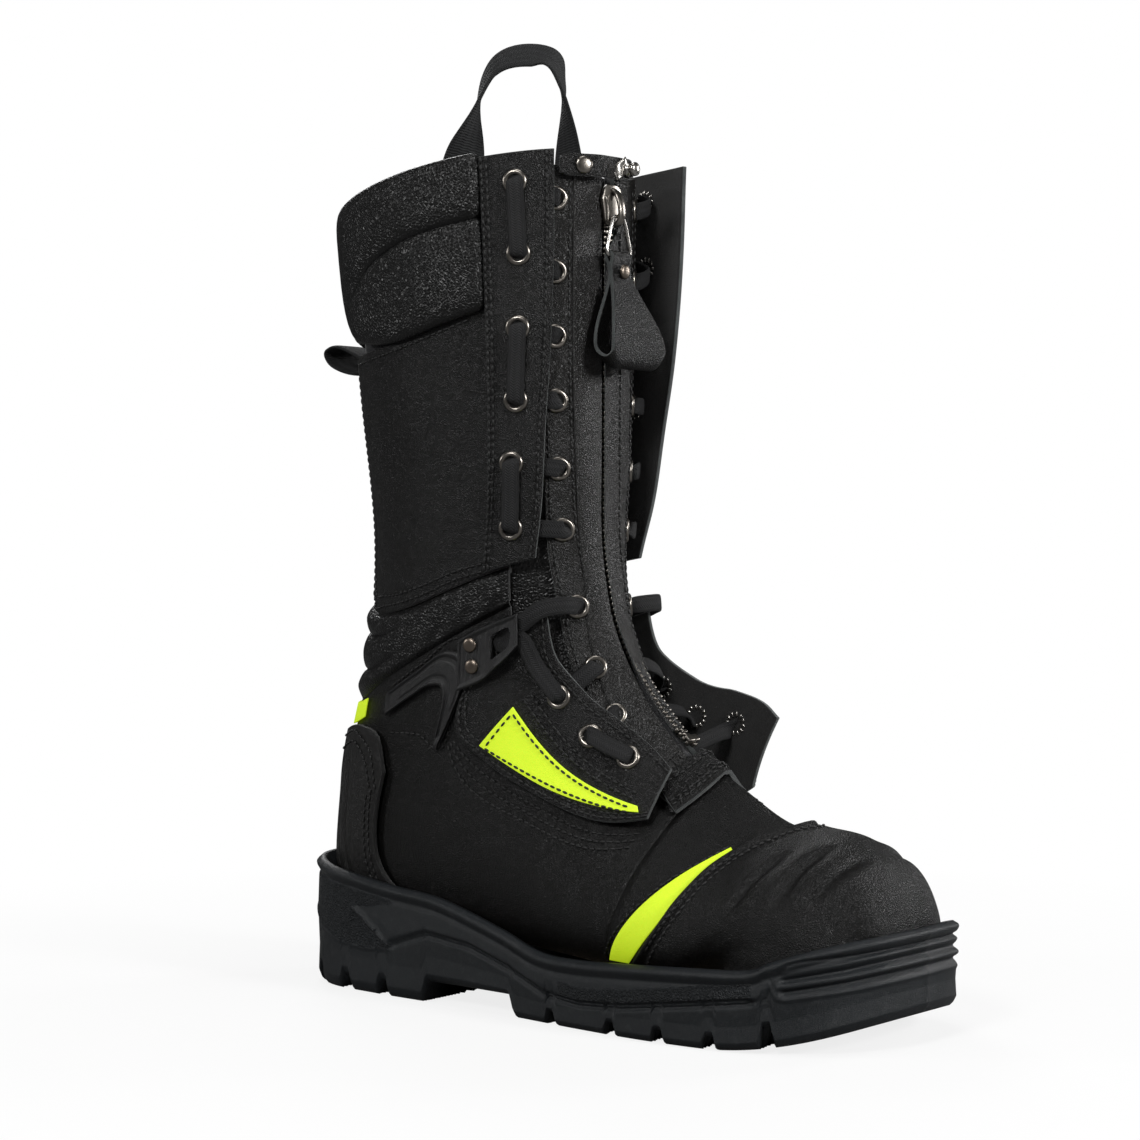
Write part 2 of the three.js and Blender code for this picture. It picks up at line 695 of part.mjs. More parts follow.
// Where the strap is at t, its outward direction in the plane z = 0, and that direction as a turn about Z.
function strapAt(t) {
  const point = strapRoute.getPoint(t);
  const tangent = strapRoute.getTangent(t);
  return { point, out: new THREE.Vector3(tangent.y, -tangent.x, 0), turn: Math.atan2(tangent.y, tangent.x) };
}
function snapStrap() {
  const geometry = new THREE.BoxGeometry(1, 1, 1, 12, 1, 1);
  const p = geometry.attributes.position;
  for (let i = 0; i < p.count; i++) {
    const t = p.getX(i) + 0.5;
    const { point, out } = strapAt(t);
    point.addScaledVector(out, p.getZ(i) > 0 ? strapSkin / 2 : -strapSkin / 2);
    const narrow = 1 - 0.3 * ease(0.85, 1, t) - 0.3 * (1 - ease(0, 0.12, t));
    p.setXYZ(i, point.x, point.y, snapHeight + p.getY(i) * 2 * strapHalf * narrow);
  }
  return closed(geometry);
}
// A round metal part on the strap's outer face.
function onStrap(t, radiusOut, radiusIn, depth) {
  const { point, out, turn } = strapAt(t);
  point.addScaledVector(out, strapSkin / 2 + gap + 0.3 + depth / 2);
  const geometry = new THREE.CylinderGeometry(radiusIn, radiusOut, depth, 12);
  return geometry.rotateZ(turn).translate(point.x, point.y, snapHeight);
}
addPiece("snap_strap", snapStrap(), "leather");
addPiece("snap_cap", onStrap(0.26, 3.2, 3.6, 1.6), "darkMetal");
addPiece("snap_stud", onStrap(0.88, 3, 3.4, 5), "darkMetal");

// ---- lace hooks ----
const hookBase = layerGap + leather + layerGap;
const hookRise = 3.4;
for (const [name, side] of sides) {
  const seat = (u) => lift(name)(u) + hookBase + hookRise * (1 - ease(56, 63, Math.abs(u)));
  const plate = panel(
    onSide([[49, 10.08], [62, 10.22], [74, 10.3]], side),
    onSide([[49, 9.72], [62, 9.64], [74, 9.7]], side),
    3,
    8,
    seat,
    (u) => seat(u) + 2,
  );
  const window = panel(
    onSide([[52.5, 10.0], [56, 10.04], [60, 10.08]], side),
    onSide([[52.5, 9.8], [56, 9.78], [60, 9.76]], side),
    1,
    2,
    -2,
    24,
  );
  addPiece("lace_hook_" + name, cut(plate, [window]), "plastic");
  [[68.5, 10.14], [67.5, 9.86]].forEach(([u, v], i) =>
    addPiece(
      "hook_rivet_" + name + "_" + (i + 1),
      pin(u * side, v, seat(u) + 2 + gap, seat(u) + 3.4, rivetHead, 12),
      "darkMetal",
    ),
  );
}

// ---- laces ----
// A route of straight steps from point to point, so that the cord bends only where its points are.
class Route extends THREE.Curve {
  constructor(points) {
    super();
    this.points = points;
  }
  getPoint(t) {
    const at = t * (this.points.length - 1);
    const i = Math.min(Math.floor(at), this.points.length - 2);
    return this.points[i].clone().lerp(this.points[i + 1], at - i);
  }
  getPointAt(t) {
    return this.getPoint(t);
  }
  getTangentAt(t) {
    const i = Math.round(t * (this.points.length - 1));
    const before = this.points[Math.max(i - 1, 0)];
    const after = this.points[Math.min(i + 1, this.points.length - 1)];
    return after.clone().sub(before).normalize();
  }
}

function tube(points, diameter) {
  const section = new THREE.Shape();
  const sidesOfCord = 8;
  for (let i = 0; i < sidesOfCord; i++) {
    const a = (i / sidesOfCord) * 2 * Math.PI;
    const [x, y] = [(Math.cos(a) * diameter) / 2, (Math.sin(a) * diameter) / 2];
    if (i) section.lineTo(x, y);
    else section.moveTo(x, y);
  }
  return closed(
    new THREE.ExtrudeGeometry(section, { extrudePath: new Route(points), steps: points.length - 1, bevelEnabled: false }),
  );
}

function lacePoints(name, side) {
  const rise = lift(name);
  const half = laceThickness / 2 + 0.6;
  const points = [];
  const go = (u, v, height) => points.push(place(u * side, v, height));
  const facingOut = (u) => rise(u) + layerGap + leather + half;
  const facingIn = (u) => rise(u) + layerGap - half;
  const [stripOut, stripIn] = [half, -leather - half];
  const strip = (i, outward) => {
    const [u, v] = stripHoles[i];
    for (const height of outward ? [stripIn, stripOut + 0.4] : [stripOut + 0.4, stripIn]) go(u, v, height);
  };
  const facing = ([u, v], outward) => {
    const heights = [facingIn(u) - 0.4, facingOut(u)];
    for (const height of outward ? heights : heights.reverse()) go(u, v, height);
  };
  const between = ([u0, v0], [u1, v1], height) => {
    const u = (u0 + u1) / 2;
    go(u, (v0 + v1) / 2, height(u));
  };
  const under = (u) => (rise(u) + layerGap) / 2 - 0.12;
  const upper = facingHoles;
  const lower = lowerFacingHoles;
  go(stripHoles[0][0] - 7, stripHoles[0][1], stripIn - 0.2);
  for (let i = 0; i < 6; i += 2) {
    strip(i, true);
    between(stripHoles[i], upper[i], under);
    facing(upper[i], true);
    between(upper[i], upper[i + 1], (u) => facingOut(u) + 0.3);
    facing(upper[i + 1], false);
    between(upper[i + 1], stripHoles[i + 1], under);
    strip(i + 1, false);
    between(stripHoles[i + 1], stripHoles[i + 2], () => stripIn - 0.4);
  }
  strip(6, true);
  const hookRoom = (u) => rise(u) + hookBase + 1.1;
  go(31, 9.94, Math.max(stripOut + 1.2, facingOut(38)));
  go(40, 10.04, facingOut(38) + 0.4);
  go(48, 10.0, hookRoom(48));
  go(54, 9.96, hookRoom(54));
  go(56.2, 9.9, hookRoom(56));
  go(54, 9.84, hookRoom(54));
  go(48, 9.76, hookRoom(48));
  go(42, 9.2, facingOut(42) + 0.2);
  facing(lower[0], false);
  between(lower[0], stripHoles[7], under);
  strip(7, false);
  between(stripHoles[7], stripHoles[8], () => stripIn - 0.3);
  strip(8, true);
  between(stripHoles[8], lower[1], under);
  facing(lower[1], true);
  between(lower[1], lower[2], (u) => facingOut(u) + 0.3);
  facing(lower[2], false);
  between(lower[2], stripHoles[9], under);
  strip(9, false);
  go(stripHoles[9][0] - 7, stripHoles[9][1], stripIn - 0.2);
  return points;
}
for (const [name, side] of sides) addPiece("lace_" + name, tube(lacePoints(name, side), laceThickness), "textile");

// ---- carrying loop and rear pull tab ----
function strap(points, turns, width, thickness, steps) {
  const route = new THREE.CatmullRomCurve3(points);
  const geometry = new THREE.BoxGeometry(1, 1, 1, 2, steps, 1);
  const p = geometry.attributes.position;
  for (let i = 0; i < p.count; i++) {
    const t = p.getY(i) + 0.5;
    const at = route.getPoint(t);
    const along = route.getTangent(t);
    const flat = turns(t);
    const across = flat.clone().addScaledVector(along, -flat.dot(along)).normalize();
    const normal = across.clone().cross(along);
    at.addScaledVector(across, p.getX(i) * width(t)).addScaledVector(normal, p.getZ(i) * thickness);
    p.setXYZ(i, at.x, at.y, at.z);
  }
  return closed(geometry);
}

const loopInset = tongueFace - 2.2; // the loop's ends lie inside the padded lining
const [loopBack, loopFront] = [-142, -78]; // where its two ends are sewn, round the inner side
const loopHinge = 13.96; // ring number where the loop leaves the lining
const seamRoom = 4.6; // webbing left free under the loop's hinge, so that it can lean
const tangentAt = (u) => place(u + 3, 13.7, loopInset).sub(place(u - 3, 13.7, loopInset)).setZ(0).normalize();
function carryingLoop() {
  const [backTop, frontTop] = [place(loopBack, loopHinge, loopInset), place(loopFront, loopHinge, loopInset)];
  frontTop.z = backTop.z;
  const crown = Math.max(backTop.z, frontTop.z) + loopRise;
  const middle = backTop.clone().add(frontTop).multiplyScalar(0.5);
  const toMiddle = (point, share, z) => point.clone().lerp(middle, share).setZ(z);
  return strap(
    [
      backTop,
      toMiddle(backTop, 0, backTop.z + 7),
      toMiddle(backTop, 0.3, mix(backTop.z, crown, 0.55)),
      toMiddle(backTop, 0.72, crown - 3),
      toMiddle(frontTop, 0.45, crown),
      toMiddle(frontTop, 0.12, crown - 14),
      toMiddle(frontTop, 0, mix(frontTop.z, crown, 0.35)),
      toMiddle(frontTop, 0, frontTop.z + 7),
      frontTop,
    ],
    (t) =>
      tangentAt(loopBack)
        .multiplyScalar(-1)
        .lerp(new THREE.Vector3(0.9, 0.45, 0), ease(0.1, 0.4, t))
        .lerp(tangentAt(loopFront), ease(0.6, 0.9, t)),
    () => webbing * 0.8,
    1.6,
    24,
  );
}
addPiece("carrying_loop", carryingLoop(), "textile");
for (const [name, u] of [
  ["back", loopBack],
  ["front", loopFront],
]) {
  const backTopZ = place(loopBack, loopHinge, loopInset).z;
  const top = place(u, loopHinge, loopInset).setZ(backTopZ - seamRoom);
  const foot = place(u, loopHinge - 0.5, loopInset);
  const middle = top.clone().lerp(foot, 0.5);
  const flat = tangentAt(u);
  addPiece("loop_anchor_" + name, strap([top, middle, foot], () => flat, () => webbing * 0.8, 1.6, 2), "textile");
}

const tabReach = 26;
function rearTab() {
  const root = place(180, 13.19, gap + 1.4);
  const at = (reach, rise) => root.clone().add(new THREE.Vector3(0, reach * tabReach, rise));
  return strap(
    [at(0, 1.3), at(0.35, 6.5), at(0.75, 10), at(1, 7.5), at(0.85, 1.5), at(0.4, -2.5), at(0, -1.3)],
    () => new THREE.Vector3(1, 0, 0),
    () => webbing,
    1.6,
    14,
  );
}
addPiece("rear_pull_tab", rearTab(), "textile");

// ---- sole unit ----
// The outline of the sole at its rim, from the toe round the outer side.
const soleLine = new THREE.SplineCurve(
  [
    [6, -157.5], [-24, -152.5], [-45, -134], [-56, -102], [-58.5, -66], [-56, -30], [-51, 10], [-48, 50], [-46, 90],
    [-41, 122], [-25, 141], [0, 145.5], [25, 141], [41, 122], [46, 90], [47, 50], [48, 10], [53, -30], [58, -66],
    [61.5, -102], [56, -134], [36, -152.5], [6, -157.5],
  ].map(([x, y]) => new THREE.Vector2((x * footWidth) / lastSize.width, (y * footLength) / lastSize.length)),
);
const along = (y) => (y * lastSize.length) / footLength; // y on the drawn last
function heightLine(points) {
  const curve = new THREE.SplineCurve(points.map(([y, z]) => new THREE.Vector2(y, z)));
  return (y) => {
    let [low, high] = [0, 1];
    for (let i = 0; i < 24; i++) {
      const middle = (low + high) / 2;
      if (curve.getPoint(middle).x < along(y)) low = middle;
      else high = middle;
    }
    return curve.getPoint((low + high) / 2).y;
  };
}
const rimHeight = heightLine([
  [-160, 47], [-140, 42], [-122, 36], [-112, 32], [-90, 31], [-60, 29.5], [-30, 28], [-8, 29], [15, 36], [50, 45],
  [78, 48], [110, 52], [148, 57],
]);
const partHeight = heightLine([
  [-160, 21], [-130, 15], [-100, 11.5], [-40, 10], [0, 10.5], [40, 12.5], [90, 16.5], [148, 17],
]);
const toeSpring = (y) => 13 * Math.max((-92 - along(y)) / 64, 0) ** 2;

// A solid with the sole's outline: levels are [share of the way out, outward shift, height(y)] from below to above.
function soleBlock(levels) {
  const around = 44;
  const profile = levels.map((_, i) => new THREE.Vector2(i === 0 || i === levels.length - 1 ? 0 : 1 + i, i));
  const geometry = new THREE.LatheGeometry(profile, around);
  const p = geometry.attributes.position;
  const centreY = soleLine.getPoint(0).y + footLength * 0.52;
  for (let i = 0; i < p.count; i++) {
    const level = levels[Math.round(p.getY(i))];
    const [x, y] = [p.getX(i), p.getZ(i)];
    const t = Math.hypot(x, y) < 1e-6 ? 0 : (Math.atan2(x, y) / (2 * Math.PI) + 1) % 1;
    const at = soleLine.getPointAt(t);
    const tangent = soleLine.getTangentAt(t);
    const [share, out, height] = level;
    const px = (at.x - tangent.y * out) * share;
    const py = centreY + (at.y + tangent.x * out - centreY) * share;
    p.setXYZ(i, px, py, height(py));
  }
  return closed(geometry);
}

const soleFloor = heightLine([
  [-160, 27], [-149, 25.5], [-130, 21.5], [-100, 17.5], [-74, 15], [-20, 14.5], [42, 16], [100, 19.5], [126, 20], [148, 20],
]);
// The sole's outline at its foot, where the midsole meets the outsole.
const partLevels = (height) => [
  [0, 0, height],
  [0.6, 0, height],
  [1, -0.8, height],
];
addPiece(
  "midsole",
  soleBlock([
    ...partLevels((y) => partHeight(y) + layerGap),
    [1, 0.6, (y) => mix(partHeight(y), rimHeight(y), 0.45)],
    [1, 0, (y) => rimHeight(y) - 3],
    [1, -1.2, rimHeight],
    [1, -soleWall, rimHeight],
    [1, -soleWall - 0.6, (y) => mix(soleFloor(y), rimHeight(y), 0.5)],
    [1, -soleWall - 3, soleFloor],
    [0.5, 0, soleFloor],
    [0, 0, soleFloor],
  ]),
  "rubber",
);

function treadGrooves() {
  const grooves = [];
  const groove = (y, width, slant, depth = treadDepth) => {
    const g = new THREE.BoxGeometry(footWidth * 1.6, width, depth * 2);
    grooves.push(g.rotateZ(slant).translate(0, (y * footLength) / lastSize.length, 0));
  };
  for (const y of [-112, -88, -64, -40, -16]) groove(y, 5, y === -16 ? 0 : 0.16, treadDepth + Math.max(-95 - y, 0) * 0.3);
  for (const y of [84, 108]) groove(y, 5, 0);
  groove(129, 4, 0, treadDepth + 1.5);
  const archLength = ((heelBreast - archFront) * footLength) / lastSize.length;
  const archMiddle = (((heelBreast + archFront) / 2) * footLength) / lastSize.length;
  grooves.push(new THREE.BoxGeometry(footWidth * 1.6, archLength, archRise * 2).translate(0, archMiddle, 0));
  return grooves;
}
const outsole = soleBlock([
  [0, 0, toeSpring],
  [0.6, 0, toeSpring],
  [1, -2.5, toeSpring],
  [1, 0.3, (y) => toeSpring(y) + 3],
  ...partLevels(partHeight).reverse(),
]);
addPiece("outsole", cut(outsole, treadGrooves()), "rubber");

// ---- inside the foot ----
// A slab over the sole's floor, between two heights above it, inset from the outline and then narrowed to a share.
function floorSlab(low, high, inset, share) {
  return soleBlock([
    [0, 0, (y) => soleFloor(y) + low],
    [0.4, 0, (y) => soleFloor(y) + low],
    [share, -inset, (y) => soleFloor(y) + low],
    [share, -inset, (y) => soleFloor(y) + high],
    [0.4, 0, (y) => soleFloor(y) + high],
    [0, 0, (y) => soleFloor(y) + high],
  ]);
}
addPiece("insole_board", floorSlab(1.1, 3, soleWall + 5, 1), "board");
addPiece("footbed", floorSlab(5.4, 7.6, soleWall + 12, 0.77), "lining");

// The whole boot stands over the origin.
const whole = new THREE.Box3().setFromObject(boot);
boot.position.set(-(whole.min.x + whole.max.x) / 2, -(whole.min.y + whole.max.y) / 2, -whole.min.z);

export default boot;
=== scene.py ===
import math

import bmesh
import bpy
import numpy as np
from mathutils import Matrix, Vector


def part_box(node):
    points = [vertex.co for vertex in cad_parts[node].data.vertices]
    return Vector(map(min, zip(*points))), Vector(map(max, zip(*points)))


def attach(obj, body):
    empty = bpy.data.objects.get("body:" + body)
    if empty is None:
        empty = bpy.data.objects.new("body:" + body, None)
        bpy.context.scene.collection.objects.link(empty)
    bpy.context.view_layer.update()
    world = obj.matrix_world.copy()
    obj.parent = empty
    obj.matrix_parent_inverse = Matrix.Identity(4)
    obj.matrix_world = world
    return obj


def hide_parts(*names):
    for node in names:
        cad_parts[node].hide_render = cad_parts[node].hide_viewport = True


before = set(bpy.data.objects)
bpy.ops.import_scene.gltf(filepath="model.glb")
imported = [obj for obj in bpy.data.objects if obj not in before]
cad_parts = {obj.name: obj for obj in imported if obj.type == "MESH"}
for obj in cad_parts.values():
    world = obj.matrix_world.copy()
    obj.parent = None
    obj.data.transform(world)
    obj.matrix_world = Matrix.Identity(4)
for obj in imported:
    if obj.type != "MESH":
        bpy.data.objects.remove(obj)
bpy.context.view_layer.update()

# the boot's surface, as in the CAD: u degrees round from the front, v the ring of the last
# each ring: front y and z, rear y and z, half width, x shift, squareness at front and rear, fall
rings = np.array([
    [-148, 30, -74, 18, 48, 5, 0.8, 0.95, 1], [-149, 48, -73, 18, 48, 5, 0.8, 0.95, 0.98],
    [-142, 66, -72, 17, 47, 4, 0.8, 0.9, 0.92], [-127, 76, -71, 17, 48, 3, 0.82, 0.85, 0.8],
    [-110, 80, -69.5, 17, 50, 2, 0.84, 0.8, 0.65], [-94, 84, -66, 17, 51, 1, 0.88, 0.75, 0.57],
    [-76, 95, -55, 17, 51, 0, 0.92, 0.7, 0.52], [-52, 110, -22, 17, 49, 0, 0.95, 0.66, 0.5],
    [-28, 135, 42, 20, 44, 0, 0.95, 0.68, 0.6], [-13, 158, 126, 28, 41, 0, 0.92, 0.66, 0.9],
    [-7, 178, 134, 84, 40, 0, 0.88, 0.7, 1], [-4, 202, 120, 142, 42, 0, 0.84, 0.8, 1],
    [-4, 236, 115, 196, 46, 0, 0.8, 0.9, 1], [-4, 296, 122, 262, 51, 0, 0.8, 0.92, 1],
    [-4, 358, 130, 336, 54, 0, 0.8, 0.92, 1], [-4, 388, 134, 366, 55, 0, 0.8, 0.92, 1],
])
padded = np.vstack([2 * rings[0] - rings[1], rings, 2 * rings[-1] - rings[-2]])
leather = 2.2
layerGap = 0.9
shaftPadding = 4.2
flapLift = {"lateral": 4.5, "medial": 23}
sides = [("lateral", 1), ("medial", -1)]

# The slider's box says where the drawing's frame lies: its middle is x = 0
# and its back is 4.4 mm before the zip.
sliderLow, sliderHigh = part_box("zip_slider")
shift = np.array([(sliderLow.x + sliderHigh.x) / 2, sliderHigh.y + 0.0044, 0.0])


def metres(points):
    return np.asarray(points, float) / 1000 + shift


def ringValues(v):
    v = np.clip(v, 0, 15)
    i = np.minimum(v.astype(int), 14)
    t = (v - i)[:, None]
    a, b, c, d = padded[i], padded[i + 1], padded[i + 2], padded[i + 3]
    return 0.5 * (2 * b + (c - a) * t + (2 * a - 5 * b + 4 * c - d) * t**2 + (3 * b - a - 3 * c + d) * t**3)


def facePoints(u, v):
    k = ringValues(v)
    a = np.radians(u)
    way = (1 - np.cos(a)) / 2
    down = way ** k[:, 8]
    s = np.sin(a)
    across = k[:, 4] * np.sign(s) * np.abs(s) ** (k[:, 6] + (k[:, 7] - k[:, 6]) * way)
    return np.stack(
        [k[:, 5] - across, k[:, 0] + (k[:, 2] - k[:, 0]) * down, k[:, 1] + (k[:, 3] - k[:, 1]) * down], 1
    )


def unit(a):
    return a / np.maximum(np.linalg.norm(a, axis=-1, keepdims=True), 1e-9)


def faceNormals(u, v):
    around = facePoints(u + 0.5, v) - facePoints(u - 0.5, v)
    along = facePoints(u, v + 0.02) - facePoints(u, v - 0.02)
    return unit(np.cross(along, around))


def place(u, v, h=0):  # millimetres in the drawing's frame
    u, v = np.broadcast_arrays(np.asarray(u, float), np.asarray(v, float))
    u, v = np.atleast_1d(u), np.atleast_1d(v)
    h = np.broadcast_to(np.asarray(h, float), u.shape)
    return facePoints(u, v) + faceNormals(u, v) * h[:, None]


def ease(a, b, x):
    t = np.clip((np.asarray(x, float) - a) / (b - a), 0, 1)
    return t * t * (3 - 2 * t)


def bump(x, centre, width):
    return np.exp(-(((np.asarray(x, float) - centre) / width) ** 2))


def riseOf(name):
    return lambda u: flapLift[name] * (np.maximum(55 - np.abs(u), 0) / 30) ** 1.6


def line(points):  # smooth line through [u, v] points, read at t from 0 to 1
    p = np.array(points, float)
    steps = np.linalg.norm(np.diff(p * [1, 22], axis=0), axis=1)
    at = np.concatenate([[0], np.cumsum(steps)]) / steps.sum()
    slope = np.gradient(p, at, axis=0) if len(p) > 2 else np.repeat([p[1] - p[0]], 2, axis=0)

    def read(t):
        t = np.clip(np.atleast_1d(np.asarray(t, float)), 0, 1)
        i = np.clip(np.searchsorted(at, t, side="right") - 1, 0, len(p) - 2)
        span = (at[i + 1] - at[i])[:, None]
        x = ((t - at[i]) / (at[i + 1] - at[i]))[:, None]
        return ((2 * x**3 - 3 * x**2 + 1) * p[i] + (x**3 - 2 * x**2 + x) * span * slope[i]
                + (3 * x**2 - 2 * x**3) * p[i + 1] + (x**3 - x**2) * span * slope[i + 1])

    return read


def roundBack(points):
    return list(points) + [[360 - u, v] for u, v in reversed(points[:-1])]


def onSide(points, side):
    return [[u * side, v] for u, v in points]


# materials
def nodeGroup(name, inputs, outputs):
    group = bpy.data.node_groups.new(name, "ShaderNodeTree")
    for label, kind, value in inputs:
        socket = group.interface.new_socket(label, in_out="INPUT", socket_type=kind)
        if value is not None:
            socket.default_value = value
    for label, kind in outputs:
        group.interface.new_socket(label, in_out="OUTPUT", socket_type=kind)
    return group, group.nodes.new("NodeGroupInput"), group.nodes.new("NodeGroupOutput")


def mathNode(tree, operation, a, b=None, clamp=False):
    node = tree.nodes.new("ShaderNodeMath")
    node.operation = operation
    node.use_clamp = clamp
    for i, value in enumerate([a, b]):
        if value is None:
            continue
        if isinstance(value, (int, float)):
            node.inputs[i].default_value = value
        else:
            tree.links.new(value, node.inputs[i])
    return node.outputs[0]


def mapRange(tree, value, fromLow, fromHigh, toLow, toHigh):
    node = tree.nodes.new("ShaderNodeMapRange")
    tree.links.new(value, node.inputs["Value"])
    for label, number in zip(
        ["From Min", "From Max", "To Min", "To Max"], [fromLow, fromHigh, toLow, toHigh]
    ):
        if isinstance(number, (int, float)):
            node.inputs[label].default_value = number
        else:
            tree.links.new(number, node.inputs[label])
    return node.outputs["Result"]


def noiseNode(tree, vector, scale, detail=3, roughness=0.55):
    node = tree.nodes.new("ShaderNodeTexNoise")
    tree.links.new(vector, node.inputs["Vector"])
    if isinstance(scale, (int, float)):
        node.inputs["Scale"].default_value = scale
    else:
        tree.links.new(scale, node.inputs["Scale"])
    node.inputs["Detail"].default_value = detail
    node.inputs["Roughness"].default_value = roughness
    return node.outputs["Fac"]


def cellNode(tree, vector, scale, feature="F1"):
    node = tree.nodes.new("ShaderNodeTexVoronoi")
    node.feature = feature
    tree.links.new(vector, node.inputs["Vector"])
    if isinstance(scale, (int, float)):
        node.inputs["Scale"].default_value = scale
    else:
        tree.links.new(scale, node.inputs["Scale"])
    return node.outputs["Distance"]


def buildGrain():  # pebbles and pores of leather or moulded rubber
    group, given, out = nodeGroup(
        "grain",
        [("Scale", "NodeSocketFloat", 900.0), ("Pores", "NodeSocketFloat", 0.3)],
        [("Height", "NodeSocketFloat"), ("Valleys", "NodeSocketFloat")],
    )
    place3d = group.nodes.new("ShaderNodeTexCoord").outputs["Object"]
    warp = noiseNode(group, place3d, mathNode(group, "MULTIPLY", given.outputs["Scale"], 0.35), 2)
    mixed = group.nodes.new("ShaderNodeVectorMath")
    mixed.operation = "MULTIPLY_ADD"
    group.links.new(place3d, mixed.inputs[0])
    mixed.inputs[1].default_value = (1, 1, 1)
    small = group.nodes.new("ShaderNodeCombineXYZ")
    tiny = mathNode(group, "DIVIDE", warp, given.outputs["Scale"])
    for axis in "XYZ":
        group.links.new(tiny, small.inputs[axis])
    group.links.new(small.outputs[0], mixed.inputs[2])
    cells = cellNode(group, mixed.outputs[0], given.outputs["Scale"], "DISTANCE_TO_EDGE")
    pebble = mapRange(group, cells, 0.0, 0.34, 0.0, 1.0)
    fine = noiseNode(group, place3d, mathNode(group, "MULTIPLY", given.outputs["Scale"], 2.6), 4, 0.6)
    height = mathNode(group, "ADD", pebble, mathNode(group, "MULTIPLY", fine, given.outputs["Pores"]))
    group.links.new(height, out.inputs["Height"])
    # Valleys marks the low ground between pebbles, where the leathers paint shade
    group.links.new(mathNode(group, "SUBTRACT", 1.0, pebble, True), out.inputs["Valleys"])
    return group


def buildMottle():  # slow changes of tone and gloss, and rubbed spots
    group, given, out = nodeGroup(
        "mottle", [("Scale", "NodeSocketFloat", 22.0)], [
            ("Tone", "NodeSocketFloat"), ("Rubbed", "NodeSocketFloat")
        ]
    )
    place3d = group.nodes.new("ShaderNodeTexCoord").outputs["Object"]
    slow = noiseNode(group, place3d, given.outputs["Scale"], 3)
    quick = noiseNode(group, place3d, mathNode(group, "MULTIPLY", given.outputs["Scale"], 9.0), 5, 0.65)
    tone = mathNode(group, "MULTIPLY", slow, 0.75)
    total = mathNode(group, "ADD", tone, mathNode(group, "MULTIPLY", quick, 0.25))
    group.links.new(mapRange(group, total, 0.3, 0.7, 0.0, 1.0), out.inputs["Tone"])
    group.links.new(mapRange(group, quick, 0.56, 0.72, 0.0, 1.0), out.inputs["Rubbed"])
    return group


def buildWeave():  # threads of a lace or webbing, across and along the piece's own map, in millimetres
    group, given, out = nodeGroup(
        "weave",
        [
            ("Across", "NodeSocketFloat", 1.0), ("Along", "NodeSocketFloat", 1.0),
            ("Slant", "NodeSocketFloat", 0.6)
        ],
        [("Height", "NodeSocketFloat"), ("Tone", "NodeSocketFloat")],
    )
    uv = group.nodes.new("ShaderNodeUVMap")
    uv.uv_map = "along"
    parts = group.nodes.new("ShaderNodeSeparateXYZ")
    group.links.new(uv.outputs[0], parts.inputs[0])
    across = mathNode(group, "DIVIDE", parts.outputs[0], given.outputs["Across"])
    along = mathNode(group, "DIVIDE", parts.outputs[1], given.outputs["Along"])
    folded = mathNode(group, "PINGPONG", across, 0.5)
    leaning = mathNode(group, "ADD", along, mathNode(group, "MULTIPLY", folded, given.outputs["Slant"]))
    rib = mathNode(group, "PINGPONG", leaning, 0.5)
    height = mathNode(
        group, "ADD", mathNode(group, "MULTIPLY", folded, 1.2), mathNode(group, "MULTIPLY", rib, 1.6)
    )
    group.links.new(mapRange(group, height, 0.1, 1.2, 0.0, 1.0), out.inputs["Height"])
    # Tone is darker where the weave lies low: painted shade between the threads
    group.links.new(mapRange(group, height, 0.2, 1.2, 0.25, 1.0), out.inputs["Tone"])
    return group


groups = {"grain": buildGrain(), "mottle": buildMottle(), "weave": buildWeave()}


def useGroup(tree, name, **values):
    node = tree.nodes.new("ShaderNodeGroup")
    node.node_tree = groups[name]
    for label, value in values.items():
        node.inputs[label].default_value = value
    return node


def mixColours(tree, factor, dark, light):
    node = tree.nodes.new("ShaderNodeMix")
    node.data_type = "RGBA"
    tree.links.new(factor, node.inputs["Factor"])
    for label, colour in (("A", dark), ("B", light)):
        socket = next(s for s in node.inputs if s.name == label and s.type == "RGBA")
        if isinstance(colour, tuple):
            socket.default_value = (*colour, 1)
        else:
            tree.links.new(colour, socket)
    return next(s for s in node.outputs if s.type == "RGBA")


def bumpInto(tree, shader, height, distance, strength=1.0):
    node = tree.nodes.new("ShaderNodeBump")
    node.inputs["Strength"].default_value = strength
    node.inputs["Distance"].default_value = distance
    tree.links.new(height, node.inputs["Height"])
    tree.links.new(node.outputs["Normal"], shader.inputs["Normal"])


def newMaterial(name, **sockets):
    material = bpy.data.materials.new(name)
    material.use_nodes = True
    shader = material.node_tree.nodes["Principled BSDF"]
    for label, value in sockets.items():
        shader.inputs[label.replace("_", " ")].default_value = value
    return material, material.node_tree, shader


def leatherMaterial(name, dark, light, rough, scale, pores, depth, valleyShade=0.5, **sockets):
    material, tree, shader = newMaterial(name, **sockets)
    grain = useGroup(tree, "grain", Scale=scale, Pores=pores)
    mottle = useGroup(tree, "mottle", Scale=24.0)
    base = mixColours(tree, mottle.outputs["Tone"], dark, light)
    # the grain's valleys are painted darker: painted shade in the pores and between the pebbles
    deep = mixColours(
        tree, mathNode(
            tree, "MULTIPLY", grain.outputs["Valleys"], valleyShade
        ), base, tuple(c * 0.35 for c in dark)
    )
    tree.links.new(deep, shader.inputs["Base Color"])
    tree.links.new(
        mapRange(tree, mottle.outputs["Rubbed"], 0, 1, rough + 0.04, rough - 0.06),
        shader.inputs["Roughness"]
    )
    bumpInto(tree, shader, grain.outputs["Height"], depth)
    return material


def metalMaterial(name, colour, rough):
    material, tree, shader = newMaterial(name, Metallic=1.0)
    mottle = useGroup(tree, "mottle", Scale=160.0)
    tree.links.new(
        mixColours(
            tree, mottle.outputs["Tone"], tuple(c * 0.7 for c in colour), colour
        ), shader.inputs["Base Color"]
    )
    tree.links.new(
        mapRange(tree, mottle.outputs["Rubbed"], 0, 1, rough, rough + 0.14), shader.inputs["Roughness"]
    )
    return material


